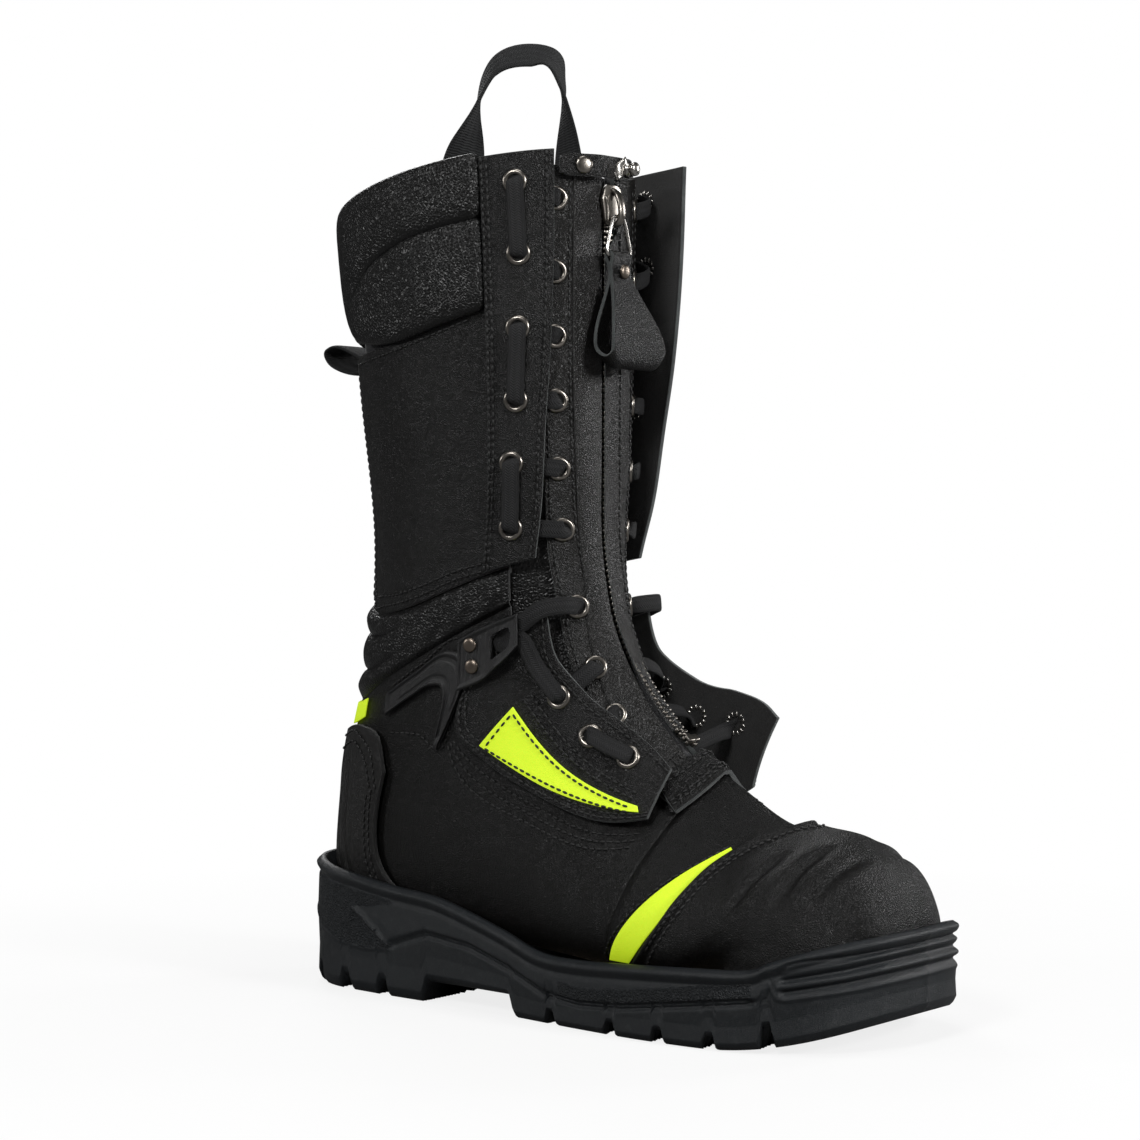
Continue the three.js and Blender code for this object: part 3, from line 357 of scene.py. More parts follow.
def clothMaterial(name, dark, light, across, along, slant, depth, rough=0.85):
    material, tree, shader = newMaterial(name, Roughness=rough)
    weave = useGroup(tree, "weave", Across=across, Along=along, Slant=slant)
    fuzz = noiseNode(tree, tree.nodes.new("ShaderNodeTexCoord").outputs["Object"], 1500, 4)
    tone = mathNode(tree, "MULTIPLY", weave.outputs["Tone"], mapRange(tree, fuzz, 0.3, 0.7, 0.7, 1.1))
    tree.links.new(mixColours(tree, tone, dark, light), shader.inputs["Base Color"])
    height = mathNode(tree, "ADD", weave.outputs["Height"], mathNode(tree, "MULTIPLY", fuzz, 0.3))
    bumpInto(tree, shader, height, depth)
    return material


def rubberMaterial():
    material, tree, shader = newMaterial("rubber_sole", Specular_IOR_Level=0.45)
    stipple = tree.nodes.new("ShaderNodeAttribute")
    stipple.attribute_name = "stipple"
    mask = stipple.outputs["Fac"]
    grain = useGroup(tree, "grain", Scale=780.0, Pores=0.5)
    fine = useGroup(tree, "grain", Scale=2600.0, Pores=0.5)
    mottle = useGroup(tree, "mottle", Scale=30.0)
    base = mixColours(tree, mottle.outputs["Tone"], (0.0055, 0.0072, 0.0088), (0.0095, 0.0122, 0.0148))
    tree.links.new(
        mixColours(tree, mottle.outputs["Rubbed"], base, (0.02, 0.022, 0.024)), shader.inputs["Base Color"]
    )
    tree.links.new(mapRange(tree, mask, 0, 1, 0.47, 0.6), shader.inputs["Roughness"])
    rough = mathNode(tree, "MULTIPLY", grain.outputs["Height"], mask)
    height = mathNode(tree, "ADD", rough, mathNode(tree, "MULTIPLY", fine.outputs["Height"], 0.1))
    bumpInto(tree, shader, height, 0.0006)
    return material


def hiVisMaterial():  # the emission is painted light: a steady glow, lit or not, that stands for the film's fluorescence and lifts its brightness
    material, tree, shader = newMaterial(
        "hi_vis_film", Roughness=0.55, Emission_Color=(0.72, 1.0, 0.02, 1), Emission_Strength=0.32
    )
    place3d = tree.nodes.new("ShaderNodeTexCoord").outputs["Object"]
    cells = cellNode(tree, place3d, 1500, "DISTANCE_TO_EDGE")
    net = mapRange(tree, cells, 0.02, 0.2, 0.0, 1.0)
    tree.links.new(mixColours(tree, net, (0.66, 0.9, 0.02), (0.78, 1.0, 0.03)), shader.inputs["Base Color"])
    bumpInto(tree, shader, net, 0.0001)
    return material


def liningMaterial():
    material, tree, shader = newMaterial("lining_mesh", Roughness=0.9, Sheen_Weight=0.25)
    place3d = tree.nodes.new("ShaderNodeTexCoord").outputs["Object"]
    cells = cellNode(tree, place3d, 520)
    holes = mapRange(tree, cells, 0.12, 0.3, 0.0, 1.0)
    fuzz = noiseNode(tree, place3d, 900, 4)
    tone = mathNode(tree, "MULTIPLY", holes, mapRange(tree, fuzz, 0.3, 0.7, 0.6, 1.0))
    tree.links.new(
        mixColours(tree, tone, (0.006, 0.006, 0.007), (0.035, 0.035, 0.038)), shader.inputs["Base Color"]
    )
    bumpInto(tree, shader, mathNode(tree, "ADD", holes, fuzz), 0.0004)
    return material


def suedeMaterial(name, dark, light):
    material, tree, shader = newMaterial(name, Roughness=0.95, Sheen_Weight=0.3)
    place3d = tree.nodes.new("ShaderNodeTexCoord").outputs["Object"]
    fibres = noiseNode(tree, place3d, 1800, 6, 0.7)
    slow = noiseNode(tree, place3d, 120, 3)
    tone = mapRange(tree, mathNode(tree, "ADD", fibres, slow), 0.75, 1.25, 0.0, 1.0)
    tree.links.new(mixColours(tree, tone, dark, light), shader.inputs["Base Color"])
    bumpInto(tree, shader, fibres, 0.0005)
    return material


materials = {
    "smooth": leatherMaterial(
        "leather_smooth", (0.0022, 0.0021, 0.002), (0.005, 0.0047, 0.0044), 0.34, 1150.0, 0.5, 0.0002,
        Specular_IOR_Level=0.36
    ),
    "foot": leatherMaterial(
        "leather_foot", (0.002, 0.0019, 0.0018), (0.0044, 0.0041, 0.0038), 0.4, 1150.0, 0.5, 0.00018,
        Specular_IOR_Level=0.3
    ),
    "pebble": leatherMaterial(
        "leather_pebbled", (0.0024, 0.0023, 0.0022), (0.005, 0.0048, 0.0046), 0.34, 700.0, 0.15, 0.00022,
        0.4, Specular_IOR_Level=0.38
    ),
    # the heel counter's leather is paler than the rest: painted sheen, for light glancing along the counter
    "counter": leatherMaterial(
        "leather_counter", (0.005, 0.0047, 0.0044), (0.01, 0.0094, 0.0088), 0.38, 1300.0, 0.4, 0.00016,
        Specular_IOR_Level=0.4
    ),
    "strip": leatherMaterial(
        "leather_strip", (0.0045, 0.0041, 0.0037), (0.0095, 0.0085, 0.0075), 0.34, 1200.0, 0.4, 0.00018,
        Specular_IOR_Level=0.45
    ),
    "edge": suedeMaterial("leather_cut_edge", (0.03, 0.035, 0.035), (0.085, 0.095, 0.093)),
    "darkEdge": suedeMaterial("leather_dyed_edge", (0.004, 0.004, 0.004), (0.012, 0.012, 0.0115)),
    "suede": suedeMaterial("leather_flesh_side", (0.0035, 0.0033, 0.0032), (0.011, 0.0105, 0.01)),
    "lining": liningMaterial(),
    "hiVis": hiVisMaterial(),
    "rubber": rubberMaterial(),
    "lace": clothMaterial(
        "lace_weave", (0.0035, 0.0035, 0.0038), (0.017, 0.017, 0.018), 1.25, 1.1, 2.0, 0.0003
    ),
    "webbing": clothMaterial(
        "webbing_weave", (0.004, 0.0042, 0.0045), (0.02, 0.021, 0.022), 1.3, 1.2, 0.5, 0.0004
    ),
    "thread": clothMaterial(
        "thread_twist", (0.006, 0.006, 0.006), (0.02, 0.02, 0.019), 0.5, 0.6, 0.5, 0.00005, 0.5
    ),
    "nickel": metalMaterial("dark_nickel", (0.3, 0.275, 0.245), 0.28),
    "steel": metalMaterial("bright_steel", (0.5, 0.48, 0.45), 0.26),
    "bronze": metalMaterial("rivet_steel", (0.24, 0.2, 0.165), 0.36),
    "plastic": leatherMaterial(
        "plastic_moulded", (0.009, 0.009, 0.0095), (0.013, 0.013, 0.0135), 0.38, 2200.0, 0.5, 0.00006
    ),
    # near-black discs in the eyelets: painted shade in holes that aren't there
    "hollow": suedeMaterial("painted_hole_shade", (0.0006, 0.0006, 0.0006), (0.002, 0.002, 0.002)),
    "board": suedeMaterial("board_fibre", (0.2, 0.15, 0.09), (0.35, 0.27, 0.18)),
}
print("materials", len(materials))


# making pieces
def mapGrid(across, along, toPoint, close=False, caps=False, uvSize=None, facing=None):
    # A grid of across x along faces, each vertex moved to toPoint(s, t), in millimetres.
    bm = bmesh.new()
    bmesh.ops.create_grid(bm, x_segments=across, y_segments=along, size=0.5)
    st = np.array([(v.co.x + 0.5, v.co.y + 0.5) for v in bm.verts])
    if uvSize is not None:
        layer = bm.loops.layers.uv.new("along")
        for face in bm.faces:
            for loop in face.loops:
                loop[layer].uv = ((loop.vert.co.x + 0.5) * uvSize[0], (loop.vert.co.y + 0.5) * uvSize[1])
    points = metres(toPoint(st[:, 0], st[:, 1]))
    for v, point in zip(bm.verts, points):
        v.co = point
    if close:
        bmesh.ops.remove_doubles(bm, verts=bm.verts, dist=1e-6)
    if caps:
        bmesh.ops.holes_fill(bm, edges=[e for e in bm.edges if e.is_boundary], sides=0)
    if close or caps:
        bmesh.ops.recalc_face_normals(bm, faces=bm.faces)
    bm.normal_update()
    if facing is not None:
        bm.faces.ensure_lookup_table()
        total = sum((f.normal.dot(Vector(facing)) * f.calc_area() for f in bm.faces))
        if total < 0:
            bmesh.ops.reverse_faces(bm, faces=bm.faces)
    return bm


def addPiece(name, bm, looks, body, replaced=(), thick=0, bevel=0, segments=2, offset=-1):
    mesh = bpy.data.meshes.new(name)
    bm.to_mesh(mesh)
    bm.free()
    piece = bpy.data.objects.new(name, mesh)
    bpy.context.scene.collection.objects.link(piece)
    looks = [looks] if isinstance(looks, str) else looks
    for look in looks:
        mesh.materials.append(materials[look])
    mesh.shade_smooth()
    if thick:
        solid = piece.modifiers.new("thickness", "SOLIDIFY")
        solid.thickness = thick / 1000
        solid.offset = offset
        solid.use_even_offset = False
        if len(looks) > 1:
            solid.material_offset_rim = 1
        if len(looks) > 2:
            solid.material_offset = 2
    if bevel:
        rounding = piece.modifiers.new("rounding", "BEVEL")
        rounding.width = bevel / 1000
        rounding.segments = segments
        rounding.limit_method = "ANGLE"
        rounding.angle_limit = math.radians(50)
    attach(piece, body)
    if replaced:
        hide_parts(*replaced)
    return piece


def panelGrid(edgeA, edgeB, height, across, along):
    # The part of the upper between two lines, its outer face at height(u, v, s, t) above the leather.
    a, b = line(edgeA), line(edgeB)

    def toPoint(s, t):
        at = a(t) * (1 - s[:, None]) + b(t) * s[:, None]
        h = height(at[:, 0], at[:, 1], s, t) if callable(height) else height
        return place(at[:, 0], at[:, 1], h)

    bm = mapGrid(across, along, toPoint)
    half = np.array([0.5])
    middle = (a(half) + b(half)) / 2
    outward = unit(faceNormals(middle[:, 0], middle[:, 1]))[0]
    centre = metres(place(middle[:, 0], middle[:, 1], 0))[0]
    face = min(bm.faces, key=lambda f: (f.calc_center_median() - Vector(centre)).length)
    if face.normal.dot(Vector(outward)) < 0:
        bmesh.ops.reverse_faces(bm, faces=bm.faces)
    return bm


def panelPiece(
    name, edgeA, edgeB, height, across, along, looks, replaced=(), thick=leather, bevel=0.5
):
    return addPiece(
        name, panelGrid(edgeA, edgeB, height, across, along), looks, "boot", replaced, thick,
        bevel
    )


def stampAll(template, matrices):  # many copies of one small form in one mesh
    scratch = bpy.data.meshes.new("scratch")
    bm = bmesh.new()
    for matrix in matrices:
        copy = template.copy()
        bmesh.ops.transform(copy, matrix=matrix, verts=copy.verts)
        copy.to_mesh(scratch)
        copy.free()
        bm.from_mesh(scratch)
    bpy.data.meshes.remove(scratch)
    return bm


def frameMatrix(point, along, out, scale=(1, 1, 1)):  # X along, Z out of the surface
    z = unit(np.asarray(out, float))
    x = unit(np.asarray(along, float) - z * np.dot(along, z))
    y = np.cross(z, x)
    matrix = Matrix.Identity(4)
    for i in range(3):
        matrix[i][0], matrix[i][1], matrix[i][2] = x[i] * scale[0], y[i] * scale[1], z[i] * scale[2]
        matrix[i][3] = point[i]
    return matrix


def surfaceFrame(u, v, heightOf):  # point, direction of growing v and outward direction of a lifted surface
    def at(uu, vv):
        return place(np.array([uu]), np.array([vv]), heightOf(np.array([uu]), np.array([vv])))[0]

    point = at(u, v)
    up = at(u, v + 0.03) - at(u, v - 0.03)
    sideways = at(u + 0.6, v) - at(u - 0.6, v)
    return point, up, unit(np.cross(up, sideways))


def sweep(points, across, profile, steps=None):
    # A band along points: profile(a) gives its section (sideways, outward) in mm for a from 0 to 1.
    p = np.asarray(points, float)
    c = unit(np.asarray(across, float))
    length = np.concatenate([[0], np.cumsum(np.linalg.norm(np.diff(p, axis=0), axis=1))])
    steps = steps or max(int(length[-1] / 1.1), 4)
    at = np.linspace(0, length[-1], steps + 1)
    q = np.stack([np.interp(at, length, p[:, k]) for k in range(3)], 1)
    w = unit(np.stack([np.interp(at, length, c[:, k]) for k in range(3)], 1))
    tangent = unit(np.gradient(q, axis=0))
    w = unit(w - tangent * np.sum(w * tangent, 1)[:, None])
    n = np.cross(w, tangent)
    around = 20
    size = np.array([profile(k / around) for k in range(around + 1)])
    perimeter = np.sum(np.linalg.norm(np.diff(size, axis=0), axis=1))

    def toPoint(s, t):
        i = np.rint(t * steps).astype(int)
        k = np.rint(s * around).astype(int)
        return q[i] + w[i] * size[k, 0][:, None] + n[i] * size[k, 1][:, None]

    return mapGrid(around, steps, toPoint, close=True, caps=True, uvSize=(perimeter, length[-1]))


def oval(width, thickness, square=0.5):
    def profile(a):
        c, s = math.cos(2 * math.pi * a), math.sin(2 * math.pi * a)
        return (
            math.copysign(abs(c) ** square, c) * width / 2, math.copysign(abs(s) ** 0.8, s) * thickness / 2
        )

    return profile


def smoothPath(points, count):  # Catmull-Rom through 3-D points, then evenly spaced
    p = np.asarray(points, float)
    padded3 = np.vstack([2 * p[0] - p[1], p, 2 * p[-1] - p[-2]])
    dense = []
    for i in range(len(p) - 1):
        a, b, c, d = padded3[i:i + 4]
        t = np.linspace(0, 1, 14, endpoint=False)[:, None]
        dense.append(
            0.5 * (
                2 * b + (c - a) * t + (2 * a - 5 * b + 4 * c - d) * t**2 + (3 * b - a - 3 * c + d) * t**3
            )
        )
    dense = np.vstack(dense + [p[-1:]])
    length = np.concatenate([[0], np.cumsum(np.linalg.norm(np.diff(dense, axis=0), axis=1))])
    at = np.linspace(0, length[-1], count)
    return np.stack([np.interp(at, length, dense[:, k]) for k in range(3)], 1)


def spun(profile, steps=24):  # a turned form round Z from (radius, height) points in millimetres
    bm = bmesh.new()
    verts = [bm.verts.new((r / 1000, 0, z / 1000)) for r, z in profile]
    edges = [bm.edges.new(pair) for pair in zip(verts[:-1], verts[1:])]
    bmesh.ops.spin(
        bm, geom=verts + edges, cent=(0, 0, 0), axis=(0, 0, 1), angle=2 * math.pi, steps=steps,
        use_merge=True
    )
    bmesh.ops.remove_doubles(bm, verts=bm.verts, dist=1e-6)
    bmesh.ops.recalc_face_normals(bm, faces=bm.faces)
    return bm


# stitching
stitchLook = {"length": 2.6, "pitch": 3.2, "width": 1.1, "depth": 0.95, "sink": 0.18}
stitchTemplate = bmesh.new()
bmesh.ops.create_uvsphere(stitchTemplate, u_segments=6, v_segments=6, radius=0.5)
bmesh.ops.rotate(
    stitchTemplate, verts=stitchTemplate.verts, cent=(0, 0, 0), matrix=Matrix.Rotation(math.pi / 2, 3, "Y")
)
stitchMatrices = []


def stitchPath(points, heightOf, pitch=None):
    # One row of stitches along a line of [u, v] points on a surface at heightOf(u, v).
    read = line(points)
    uv = read(np.linspace(0, 1, 240))
    p = place(uv[:, 0], uv[:, 1], heightOf(uv[:, 0], uv[:, 1]))
    length = np.concatenate([[0], np.cumsum(np.linalg.norm(np.diff(p, axis=0), axis=1))])
    count = max(int(length[-1] / (pitch or stitchLook["pitch"])), 2)
    at = (np.arange(count) + 0.5) / count * length[-1]
    u, v = np.interp(at, length, uv[:, 0]), np.interp(at, length, uv[:, 1])
    h = heightOf(u, v)
    q = place(u, v, h + stitchLook["sink"])
    half = np.interp(at + 0.8, length, uv[:, 0]), np.interp(at + 0.8, length, uv[:, 1])
    ahead = place(*half, heightOf(*half) + stitchLook["sink"])
    back = np.interp(at - 0.8, length, uv[:, 0]), np.interp(at - 0.8, length, uv[:, 1])
    behind = place(*back, heightOf(*back) + stitchLook["sink"])
    upward = place(u, v + 0.03, heightOf(u, v + 0.03)) - place(u, v - 0.03, heightOf(u, v - 0.03))
    sideways = place(u + 0.6, v, heightOf(u + 0.6, v)) - place(u - 0.6, v, heightOf(u - 0.6, v))
    out = unit(np.cross(upward, sideways))
    scale = (stitchLook["length"] / 1000, stitchLook["width"] / 1000, stitchLook["depth"] / 1000)
    for point, direction, n in zip(metres(q), ahead - behind, out):
        stitchMatrices.append(frameMatrix(point, direction, n, scale))


def flat(height):
    return lambda u, v: np.zeros_like(u) + height


def shifted(points, du, dv):
    return [[u + du, v + dv] for u, v in points]


# the foot's leather
capEdge = np.array([(0, 4.3), (8, 4.56), (20, 5.02), (40, 5.34), (79, 5.62), (105, 6.02), (120, 6.25)])


def capRear(u):
    turn = np.abs(u)
    return sum(np.interp(turn + d, capEdge[:, 0], capEdge[:, 1]) for d in (-5, -2.5, 0, 2.5, 5)) / 5


def footHeight(u, v, s=None, t=None):
    # bending creases over the ball of the foot, and the slow unevenness of pulled leather
    turn = np.abs(u)
    creases = sum(
        -0.42 * bump(v + 0.006 * (turn - 60), at, 0.055) * ease(34, 52, turn) * (1 - ease(88, 108, turn))
        for at in (6.98, 7.3, 7.66)
    )
    waves = 0.25 * np.sin(u * 0.11 + v * 2.3) * np.sin(v * 1.7 - u * 0.05)
    return creases + waves * ease(8, 30, turn) - 0.1


panelPiece(
    "vamp_leather", [[-128, 0.02], [-128, 3.3], [-128, 6.64]], [[128, 0.02], [128, 3.3], [128, 6.64]],
    footHeight,
    110, 60, ["foot", "darkEdge"], ["vamp"], bevel=0,
)
quarterFront = [
    [23.5, 6.655], [27, 7.15], [33, 7.7], [40, 8.3], [46, 8.8], [50, 9.15], [53, 9.5], [54, 9.85],
    [54, 10.12], [54, 10.36]
]
quarterBack = [
    [128, 6.655], [130, 7.4], [137, 8.12], [147, 8.5], [158, 8.8], [168, 9.02], [179.8, 9.22], [179.8, 9.6],
    [179.8, 10.1], [179.8, 10.74],
]
for name, side in sides:
    panelPiece(
        "quarter_leather_" + name, onSide(quarterFront, side), onSide(quarterBack, side), footHeight, 60,
        90,
        ["foot", "darkEdge"], ["lower_quarter_" + name], bevel=0,
    )

# the toe's scuff cap, with flutes from the sides towards its top and a rolled rear edge
toeCap = {"flute": 2.0, "width": 0.14, "roll": 0.9}
fluteEnds = [[(74, 3.3), (16, 3.62)], [(64, 2.34), (9, 3.0)], [(53, 1.86), (3, 2.4)]]


def capHeight(u, v, s=None, t=None):
    h = np.full_like(u, layerGap + leather)
    turn = np.abs(u)
    for (uEnd, vEnd), (uTop, vTop) in fluteEnds:
        way = np.clip((turn - uTop) / (uEnd - uTop), -0.2, 1.2)
        sag = 0.12 * np.sin(np.pi * np.clip(way, 0, 1))
        middle = vTop + (vEnd - vTop) * np.clip(way, 0, 1.2) ** 1.4 + sag
        groove = bump(v, middle, toeCap["width"])
        h -= toeCap["flute"] * groove * ease(-0.02, 0.3, way) * (1 - ease(0.72, 1.0, way))
        h += 0.2 * bump(v, middle + 0.3, 0.2) * ease(0, 0.3, way) * (1 - ease(0.75, 1.05, way))
    rear = capRear(u)
    h += toeCap["roll"] * bump(v, rear - 0.07, 0.06) - 0.6 * bump(v, rear - 0.24, 0.06)
    return h + 0.12 * np.sin(u * 0.21) * np.sin(v * 5)


def capPoint(s, t):
    u = (s - 0.5) * 240
    v = 0.1 + t * (capRear(u) - 0.1)
    return place(u, v, capHeight(u, v))


addPiece(
    "toe_cap_leather", mapGrid(150, 130, capPoint, facing=(0, -1, 1.5)), ["foot", "darkEdge"], "boot",
    ["toe_scuff_cap"], thick=leather, bevel=0.6,
)

crescent = {"film": 0.6}
crescentOuter = [[25, 5.3], [50, 5.86], [74, 6.25], [98, 6.5], [118, 6.62]]
for name, side in sides:
    lower = [[u, float(capRear(u)) + 0.07] for u in (26, 50, 74, 98, 118)]
    upper = [[u, max(v, float(capRear(u)) + 0.12)] for u, v in crescentOuter]
    panelPiece(
        "hi_vis_crescent_" + name, onSide(lower, side), onSide(upper, side), layerGap + crescent["film"], 6,
        60,
        "hiVis", ["hivis_crescent_" + name], thick=0.6, bevel=0.15,
    )
    stitchPath(onSide(shifted(upper, 0, 0.1), side), footHeight)
    stitchPath(onSide(shifted(lower[:-1], 2, -0.2), side), capHeight)
    stitchPath(
        onSide([[u, float(capRear(u)) - 0.36] for u in (0, 14, 28, 50, 74, 98, 112)], side), capHeight
    )

# the heel counter, with upright flutes
counter = {"depth": 0.85, "pitch": 8.5}
counterBottom = [[124, 8.62], [137, 8.78], [150, 8.94], [165, 9.1], [180, 9.22]]
counterTop = [[108, 9.6], [114, 10], [126, 10.24], [150, 10.4], [180, 10.48]]


def counterHeight(u, v, s=None, t=None):
    turn = 180 - np.abs(180 - np.abs(u))
    inside = ease(126, 134, turn) * (1 - ease(10.12, 10.28, v))
    ribs = np.abs(np.sin(np.pi * (turn - 128) / counter["pitch"])) ** 0.7 - 1
    return layerGap + leather + 0.5 + counter["depth"] * ribs * inside


panelPiece(
    "heel_counter_leather", roundBack(counterBottom), roundBack(counterTop), counterHeight, 26, 220,
    ["counter", "darkEdge"], ["heel_counter_cover"], thick=leather, bevel=0.5,
)
panelPiece(
    "hi_vis_heel", roundBack([[128, 10.34], [180, 10.54]]), roundBack([[128, 10.5], [180, 10.72]]),
    layerGap + 0.6, 3, 60,
    "hiVis", ["hivis_heel_strip"], thick=0.6, bevel=0.15,
)
for name, side in sides:
    for inset in (0.06, 0.16):
        stitchPath(
            onSide(
                [
                    [110 + inset * 30, 9.5], [116 + inset * 20, 9.96 - inset], [127, 10.24 - inset],
                    [150, 10.4 - inset], [179, 10.48 - inset]
                ],
                side
            ),
            flat(layerGap + leather + 0.55),
        )
    for inset in (3, 6):
        stitchPath(
            onSide(
                [[111.5 + inset, 9.56], [115 + inset, 9.2], [121 + inset, 8.86], [125 + inset, 8.74]], side
            ),
            flat(layerGap + leather + 0.55),
        )

# the moulded ankle protectors
protector = {"frame": 0.8}
for name, side in sides:
    def protectorHeight(u, v, s, t):
        rim = np.minimum(np.minimum(s, 1 - s) * 9, np.minimum(t, 1 - t) * 26)
        frameRise = protector["frame"] * (1 - ease(0.9, 1.7, rim))
        acrossBar = ease(0.28, 0.34, s) - ease(0.66, 0.72, s)
        alongBar = ease(0.14, 0.18, t) - ease(0.82, 0.86, t)
        bar = 0.7 * acrossBar * alongBar
        return layerGap + 0.8 + frameRise * ease(0, 0.5, rim) + bar * 0.5

    panelPiece(
        "ankle_guard_" + name,
        onSide(
            [[112, 10.36], [95, 10.33], [79, 10.28], [73.8, 10.1], [72.3, 9.8], [77, 9.52], [83.5, 9.3]],
            side
        ),
        onSide(
            [[111, 10.14], [97, 10.1], [87, 10.04], [82.5, 9.93], [81.5, 9.78], [82.6, 9.55], [84.6, 9.34]],
            side
        ),
        protectorHeight, 36, 110, "plastic", ["ankle_protector_" + name], thick=1.2, bevel=0.4,
    )
    stitchPath(
        onSide(
            [
                [110, 10.41], [94, 10.385], [75, 10.32], [72, 10.1], [76, 9.7], [81, 9.3], [93, 9.66],
                [109, 9.96]
            ],
            side
        ),
        footHeight
    )

# the ankle: pebbled bellows, three folds at the back
bellows = {"fold": 3.0}
bellowsBottom = roundBack([[54, 10.3], [76, 10.36], [100, 10.43], [130, 10.51], [156, 10.6], [180, 10.66]])
bellowsTop = roundBack([[54, 10.96], [76, 11.04], [100, 11.12], [130, 11.32], [156, 11.56], [180, 11.7]])


def bellowsHeight(u, v, s, t):
    back = ease(96, 140, 180 - np.abs(180 - np.abs(u)))
    folds = np.abs(np.sin(3 * np.pi * s)) ** 0.6
    front = np.sin(np.pi * np.clip(s, 0, 1)) ** 0.5
    wrinkle = 0.35 * np.sin(u * 0.45 + 5 * np.sin(s * 3)) * (1 - back) * np.sin(np.pi * s)
    tuck = 3.4 * (1 - ease(0.02, 0.2, s)) + 3.4 * ease(0.8, 0.98, s)
    return 0.2 + front * 1.4 * (1 - back) + wrinkle + back * bellows["fold"] * folds - tuck


addPiece(
    "ankle_flex_leather", panelGrid(bellowsBottom, bellowsTop, bellowsHeight, 42, 220),
    ["pebble", "darkEdge"], "boot",
    ["ankle_bellows"], thick=leather, bevel=0.3,
)

# the shaft
def shaftHeightAt(u, v, s=None, t=None):
    dent = -0.5 * bump(u, 92, 26) * bump(v, 12.1, 0.6)
    wave = 0.35 * np.sin(v * 4.1 + np.abs(u) * 0.06) * np.sin(np.abs(u) * 0.08 - 1)
    return dent + wave * ease(66, 80, np.abs(u)) - 0.15


quarterBottom = [[54, 10.9], [76, 10.99], [100, 11.07], [125, 11.22], [149.6, 11.44]]
quarterTop = [[54, 13.12], [76, 13.1], [100, 13.1], [125, 13.14], [149.6, 13.2]]
for name, side in sides:
    panelPiece(
        "shaft_leather_" + name, onSide(quarterBottom, side), onSide(quarterTop, side), shaftHeightAt, 60,
        70,
        ["smooth", "darkEdge"], ["shaft_quarter_" + name], bevel=0.4,
    )
    for inset in (0.07, 0.16):
        stitchPath(
            onSide(
                [
                    [66, 10.93 + inset], [76, 10.99 + inset], [100, 11.07 + inset], [125, 11.22 + inset],
                    [143 - inset * 20, 11.37 + inset], [146 - inset * 20, 11.5 + inset]
                ],
                side
            ),
            shaftHeightAt
        )
    stitchPath(
        onSide([[66, 13.06], [76, 13.05], [97, 13.045], [125, 13.09], [144, 13.13]], side), shaftHeightAt
    )
    for inset in (2.2, 4.4):
        stitchPath(
            onSide([[150 + inset, 11.52], [150 + inset, 12.3], [150 + inset, 13.14]], side), flat(0.75)
        )
panelPiece(
    "back_strip_leather", [[149, 11.47], [180, 11.64], [211, 11.47]],
    [[149, 13.18], [180, 13.21], [211, 13.18]], 0.75, 44, 44,
    ["smooth", "darkEdge"], ["back_strip"], bevel=0.5,
)

# the stuffed collar
collar = {"proud": 5.2, "inner": -2.6, "pucker": 0.3}


def rollGrid(bottom, top, along, proud):
    low, high = line(bottom), line(top)

    def toPoint(s, t):
        a, b = low(t), high(t)
        turn = 2 * np.pi * s
        c, w = np.cos(turn), np.sin(turn)
        ends = np.clip(np.minimum(t, 1 - t) * along / 2.0, 0, 1) ** 0.5
        sideways = np.sign(c) * np.abs(c) ** 0.6 * (0.8 + 0.2 * ends)
        outward = np.sign(w) * np.abs(w) ** 0.85 * (0.25 + 0.75 * ends)
        middle, half = (a + b) / 2, (b - a) / 2
        uv = middle + half * sideways[:, None]
        centre, reach = (proud + collar["inner"]) / 2, (proud - collar["inner"]) / 2
        slow = np.sin(t * along * 0.11 + 1 + s * 4)
        ripple = collar["pucker"] * np.sin(t * along * 0.23) * slow * np.clip(outward, 0, 1)
        return place(uv[:, 0], uv[:, 1], centre + reach * outward + ripple)

    return mapGrid(28, along * 2, toPoint, close=True, caps=True)


collarSeam = [[57.6, 13.635], [91, 13.625], [108, 13.575], [124, 13.475], [150, 13.34], [180, 13.27]]
collarTop = [[57.6, 14.16], [91, 14.15], [108, 14.13], [124, 14.11], [150, 14.07], [180, 14.05]]
roll = addPiece(
    "collar_roll_upper", rollGrid(roundBack(collarSeam), roundBack(collarTop), 130, collar["proud"]),
    "pebble", "boot",
    ["collar_pad_upper"],
)
for name, side in sides:
    roll = addPiece(
        "collar_roll_lower_" + name,
        rollGrid(
            onSide([[57.6, 13.09], [76, 13.08], [97, 13.08], [130, 13.21]], side),
            onSide([[57.6, 13.66], [91, 13.65], [108, 13.6], [131, 13.46]], side), 60,
            collar["proud"] - 0.8,
        ),
        "pebble", "boot", ["collar_pad_lower_" + name],
    )
print("upper leather and collar")

# linings, tongue and what lies inside
backing, padSkin = 1.1, 1.9
innerFace = -leather - backing
footLining = innerFace - padSkin - layerGap
panelPiece(
    "lining_vamp_cloth", [[-124, 0.16], [-124, 3.4], [-124, 6.62]], [[124, 0.16], [124, 3.4], [124, 6.62]],
    footLining - 0.4, 50, 26, "lining", ["lining_vamp"], thick=2.2, bevel=0,
)
panelPiece(
    "lining_foot_cloth",
    roundBack([[122, 6.76], [124, 7.4], [131, 8.1], [141, 8.45], [153, 8.74], [165, 8.98], [180, 9.24]]),
    roundBack([[40, 6.76], [48, 8], [53, 8.8], [56, 9.6], [60, 10.5], [110, 10.56], [180, 10.68]]),
    footLining, 30, 110,
    "lining", ["lining_foot"], thick=2.2, bevel=0,
)
panelPiece(
    "lining_shaft_cloth", roundBack([[56, 10.8], [80, 10.84], [120, 10.9], [150, 10.98], [180, 11.04]]),
    roundBack([[56, 13.9], [80, 13.96], [120, 13.98], [150, 13.98], [180, 13.98]]),
    lambda u, v, s, t: innerFace - 0.7 * ease(0.9, 1, s) + 0.2 * np.sin(v * 9) * np.sin(u * 0.1), 60, 130,
    "lining", ["lining_shaft"], thick=shaftPadding, bevel=1.4,
)
